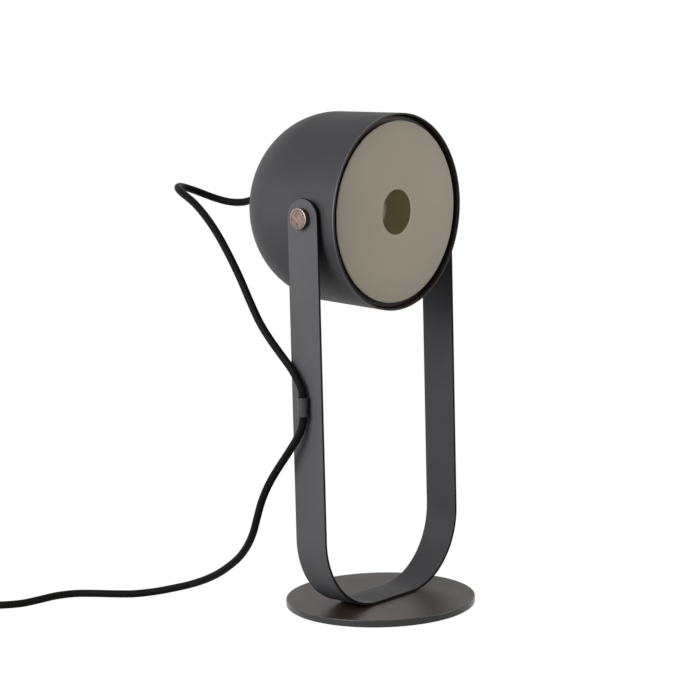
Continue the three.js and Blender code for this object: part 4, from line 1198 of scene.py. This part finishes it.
def make_tie():
    outer = coil_radius(TIE_DEGREES) + CORD_RADIUS + TIE_GAP
    strand = coil_radius(TIE_DEGREES + TIE_STRANDS_DEGREES) - CORD_RADIUS
    inner = math.sqrt(strand ** 2 - (TIE_WIDTH / 2) ** 2) - TIE_GAP
    top = COIL_LIFT + 2 * CORD_RADIUS + COIL_PITCH + TIE_GAP
    half = TIE_THICKNESS / 2
    path = rounded([
        (-outer - half, half, TIE_ROUND),
        (half - inner, half, TIE_ROUND),
        (half - inner, top + half, TIE_ROUND),
        (-outer - half, top + half, TIE_ROUND),
    ], 6)
    count = len(path)
    normals = []
    for i in range(count):
        along = path[(i + 1) % count] - path[i - 1]
        normals.append(Vector((along.y, -along.x)).normalized())
    band = loop_band(path, normals, half, TIE_WIDTH / 2, TIE_EDGE_ROUND)
    middle = -(outer + inner) / 2
    tab_half = TIE_TAB_LENGTH / 2
    tab = slab(
        rectangle(middle - tab_half, middle + tab_half, TIE_WIDTH / 2, TIE_ROUND),
        edge_levels(top + TIE_THICKNESS, top + 2 * TIE_THICKNESS, TIE_EDGE_ROUND, steps=3),
    )
    form = placed(joined(band, tab), storage_place @ shifted(COIL_ALONG, -COIL_RADIUS, 0))
    return add_piece("coil_tie", form, "cord_tie", "stand", [tie_webbing])


# Inline switch

def make_switch():
    end_round = SWITCH_EDGE_ROUND + FIT_GAP
    outline = mirrored([
        (0, -SWITCH_END_HALF_WIDTH, end_round),
        (SWITCH_SHOULDER, -SWITCH_HALF_WIDTH, SWITCH_CORNER_ROUND),
        (SWITCH_LENGTH - SWITCH_SHOULDER, -SWITCH_HALF_WIDTH, SWITCH_CORNER_ROUND),
        (SWITCH_LENGTH, -SWITCH_END_HALF_WIDTH, end_round),
    ], 8)
    lower = slab(outline, edge_levels(0, SWITCH_SEAM, SWITCH_EDGE_ROUND, SEAM_CHAMFER))
    upper = slab(outline, edge_levels(SWITCH_SEAM + FIT_GAP, SWITCH_HEIGHT, SEAM_CHAMFER, SWITCH_EDGE_ROUND))
    middle = SWITCH_LENGTH / 2
    pocket = slab(rectangle(
        middle - POCKET_HALF_LENGTH, middle + POCKET_HALF_LENGTH, POCKET_HALF_WIDTH, POCKET_CORNER_ROUND,
    ), [(0, POCKET_FLOOR), (0, SWITCH_HEIGHT + MM)])
    hollow = []
    steps = 12
    for k in range(steps + 1):
        share = 1 - 2 * k / steps
        rise = ROCKER_MIDDLE_RISE + (ROCKER_END_RISE - ROCKER_MIDDLE_RISE) * share ** 2
        hollow.append((ROCKER_HALF_LENGTH * share, rise, ROCKER_EDGE_ROUND if k in (0, steps) else 0))
    profile = rounded([
        (-ROCKER_HALF_LENGTH, ROCKER_END_DROP, ROCKER_EDGE_ROUND),
        (-ROCKER_BELLY_HALF_LENGTH, -ROCKER_BELLY_DROP, ROCKER_EDGE_ROUND),
        (ROCKER_BELLY_HALF_LENGTH, -ROCKER_BELLY_DROP, ROCKER_EDGE_ROUND),
        (ROCKER_HALF_LENGTH, ROCKER_END_DROP, ROCKER_EDGE_ROUND),
        *hollow,
    ], 3)
    sides = edge_levels(-ROCKER_HALF_WIDTH, ROCKER_HALF_WIDTH, ROCKER_EDGE_ROUND / 2, steps=3)
    rocker = slab(profile, sides)
    axle = storage_place @ shifted(middle, 0, ROCKER_PIVOT_HEIGHT) @ turned(ROCKER_TIP_DEGREES, "Y")
    lower, upper, pocket = (placed(form, storage_place) for form in (lower, upper, pocket))
    return [
        add_piece("switch_base", lower, "switch_lower_shell"),
        add_piece("switch_cover", upper, "switch_upper_shell", cutters=[pocket]),
        add_piece("switch_rocker_cap", placed(rocker, axle @ about_z), "switch_rocker", "rocker"),
    ]


# Plug

def make_plug():
    face = PLUG_SLEEVE_LENGTH + PLUG_LENGTH
    outline = mirrored([
        (PLUG_SLEEVE_LENGTH, -PLUG_REAR_HALF_WIDTH, PLUG_CORNER_ROUND),
        (PLUG_SLEEVE_LENGTH + PLUG_SHOULDER, -PLUG_HALF_WIDTH, PLUG_CORNER_ROUND),
        (face, -PLUG_HALF_WIDTH, PLUG_EDGE_ROUND + FIT_GAP),
    ], 8)
    moulding = slab(outline, edge_levels(0, PLUG_THICKNESS, PLUG_EDGE_ROUND))
    sleeve_end = PLUG_SLEEVE_LENGTH + PLUG_CORNER_ROUND
    sleeve = lathe(open_profile([
        (0, 0),
        (CORD_RADIUS + FIT_GAP, 0, FIT_GAP),
        *grooved_taper(
            0, PLUG_SLEEVE_LENGTH, PLUG_SLEEVE_TIP_RADIUS, PLUG_SLEEVE_RADIUS,
            PLUG_SLEEVE_GROOVES, PLUG_SLEEVE_GROOVE_DEPTH, RELIEF_EDGE_ROUND,
        ),
        (PLUG_SLEEVE_RADIUS, sleeve_end),
        (0, sleeve_end),
    ], 3), SMALL)
    forward = shifted(0, 0, PLUG_THICKNESS / 2) @ turned(-90, "Z")
    body = placed(joined(moulding, placed(sleeve, forward)), plug_place)
    pieces = [add_piece("plug_moulding", body, "plug_body")]
    tip = open_profile([
        (PIN_RADIUS, PIN_SLEEVE_LENGTH),
        (PIN_RADIUS, PIN_LENGTH, PIN_TIP_ROUND),
        (0, PIN_LENGTH),
    ])
    shank = PIN_RADIUS - PIN_SLEEVE_THINNING
    pin = lathe([(0, -MM), (shank, -MM), (shank, PIN_SLEEVE_LENGTH)] + tip, SMALL, changes=(3,))
    for name, side in (("left", -1), ("right", 1)):
        form = placed(pin, plug_place @ shifted(face, side * PIN_SPREAD, 0) @ forward)
        name_of_pin = "plug_pin_" + name
        coats = [black_plastic, zinc]
        pieces.append(add_piece("plug_contact_" + name, form, name_of_pin, "stand", coats))
    return pieces


def finish_kept_nodes():
    """CAD nodes whose shape is right stay, with the material of their slot and smooth shading."""
    for name, obj in nodes.items():
        if obj.hide_render or obj.type != "MESH":
            continue
        for holder in obj.material_slots:
            holder.material = made_materials[slots[name]]
        smooth(obj)


# Stage

def seen_directly(tree):
    """1 for camera, mirror and glass rays, 0 for the rays that light the object."""
    path = node(tree, "ShaderNodeLightPath", {}).outputs
    rays = math_node(tree, "MAXIMUM", path["Is Camera Ray"], path["Is Glossy Ray"])
    return math_node(tree, "MAXIMUM", rays, path["Is Transmission Ray"])


def make_floor():
    half = FLOOR_SIZE / 2
    verts = [Vector((x * half, y * half, 0)) for x, y in ((-1, -1), (1, -1), (1, 1), (-1, 1))]
    floor = mesh_object("floor", (verts, [(0, 1, 2, 3)], [0]))
    material, tree, shader = start_material("floor_white")
    tree.nodes.remove(shader)
    plain = node(tree, "ShaderNodeBsdfDiffuse", {"Color": (FLOOR_COLOUR, FLOOR_COLOUR, FLOOR_COLOUR, 1)})
    white = node(tree, "ShaderNodeEmission", {"Color": (1, 1, 1, 1), "Strength": SEEN_STRENGTH})
    share = math_node(tree, "MULTIPLY", seen_directly(tree), SEEN_SHARE)
    mix_shaders(tree, "Material Output", share, plain, white)
    floor.data.materials.append(material)


def make_world():
    world = bpy.data.worlds.new("studio")
    bpy.context.scene.world = world
    world.use_nodes = True
    tree = world.node_tree
    light = tree.nodes["Background"]
    fill(tree, light, {"Color": (*WORLD_COLOUR, 1), "Strength": WORLD_LIGHT})
    white = node(tree, "ShaderNodeBackground", {"Color": (1, 1, 1, 1), "Strength": 1.0})
    mix_shaders(tree, "World Output", seen_directly(tree), light, white)


def direction(azimuth, elevation):
    """From the object towards a viewer or light at that azimuth and elevation. Azimuth 0 is -Y."""
    across = math.radians(azimuth)
    up = math.radians(elevation)
    return Vector((math.sin(across) * math.cos(up), -math.cos(across) * math.cos(up), math.sin(up)))


def make_lights():
    for name, azimuth, elevation, power, colour in LIGHTS:
        data = bpy.data.lights.new(name, "AREA")
        data.size = LIGHT_SIZE
        data.energy = power
        data.color = colour
        obj = link(bpy.data.objects.new(name, data))
        away = direction(azimuth, elevation)
        obj.location = LIGHT_AIM + away * LIGHT_DISTANCE
        obj.rotation_euler = away.to_track_quat("Z", "Y").to_euler()


def make_camera():
    data = bpy.data.cameras.new("camera")
    data.lens = data.sensor_width * FOCAL_LENGTH_PER_FRAME_WIDTH
    obj = link(bpy.data.objects.new("camera", data))
    back = direction(CAMERA_AZIMUTH, CAMERA_ELEVATION)
    right = Vector((0, 0, 1)).cross(back).normalized()
    up = back.cross(right)
    level = Matrix((right, up, back)).transposed().to_4x4()
    turns = turned(CAMERA_YAW, "Y") @ turned(CAMERA_PITCH, "X") @ turned(CAMERA_ROLL, "Z")
    obj.matrix_world = Matrix.Translation(AIM + back * CAMERA_DISTANCE) @ level @ turns
    bpy.context.scene.camera = obj


bpy.context.scene.view_settings.view_transform = "Standard"
make_base()
make_strap()
make_guide()
make_pivots()
make_shade()
make_ring()
make_diffuser()
make_relief()
make_lampholder()
make_bulb()
cord_pieces = [make_tie(), *make_switch(), *make_plug(), nodes["switch_screw_1"], nodes["switch_screw_2"]]
make_cord()
finish_kept_nodes()
make_floor()
make_world()
make_lights()
make_camera()
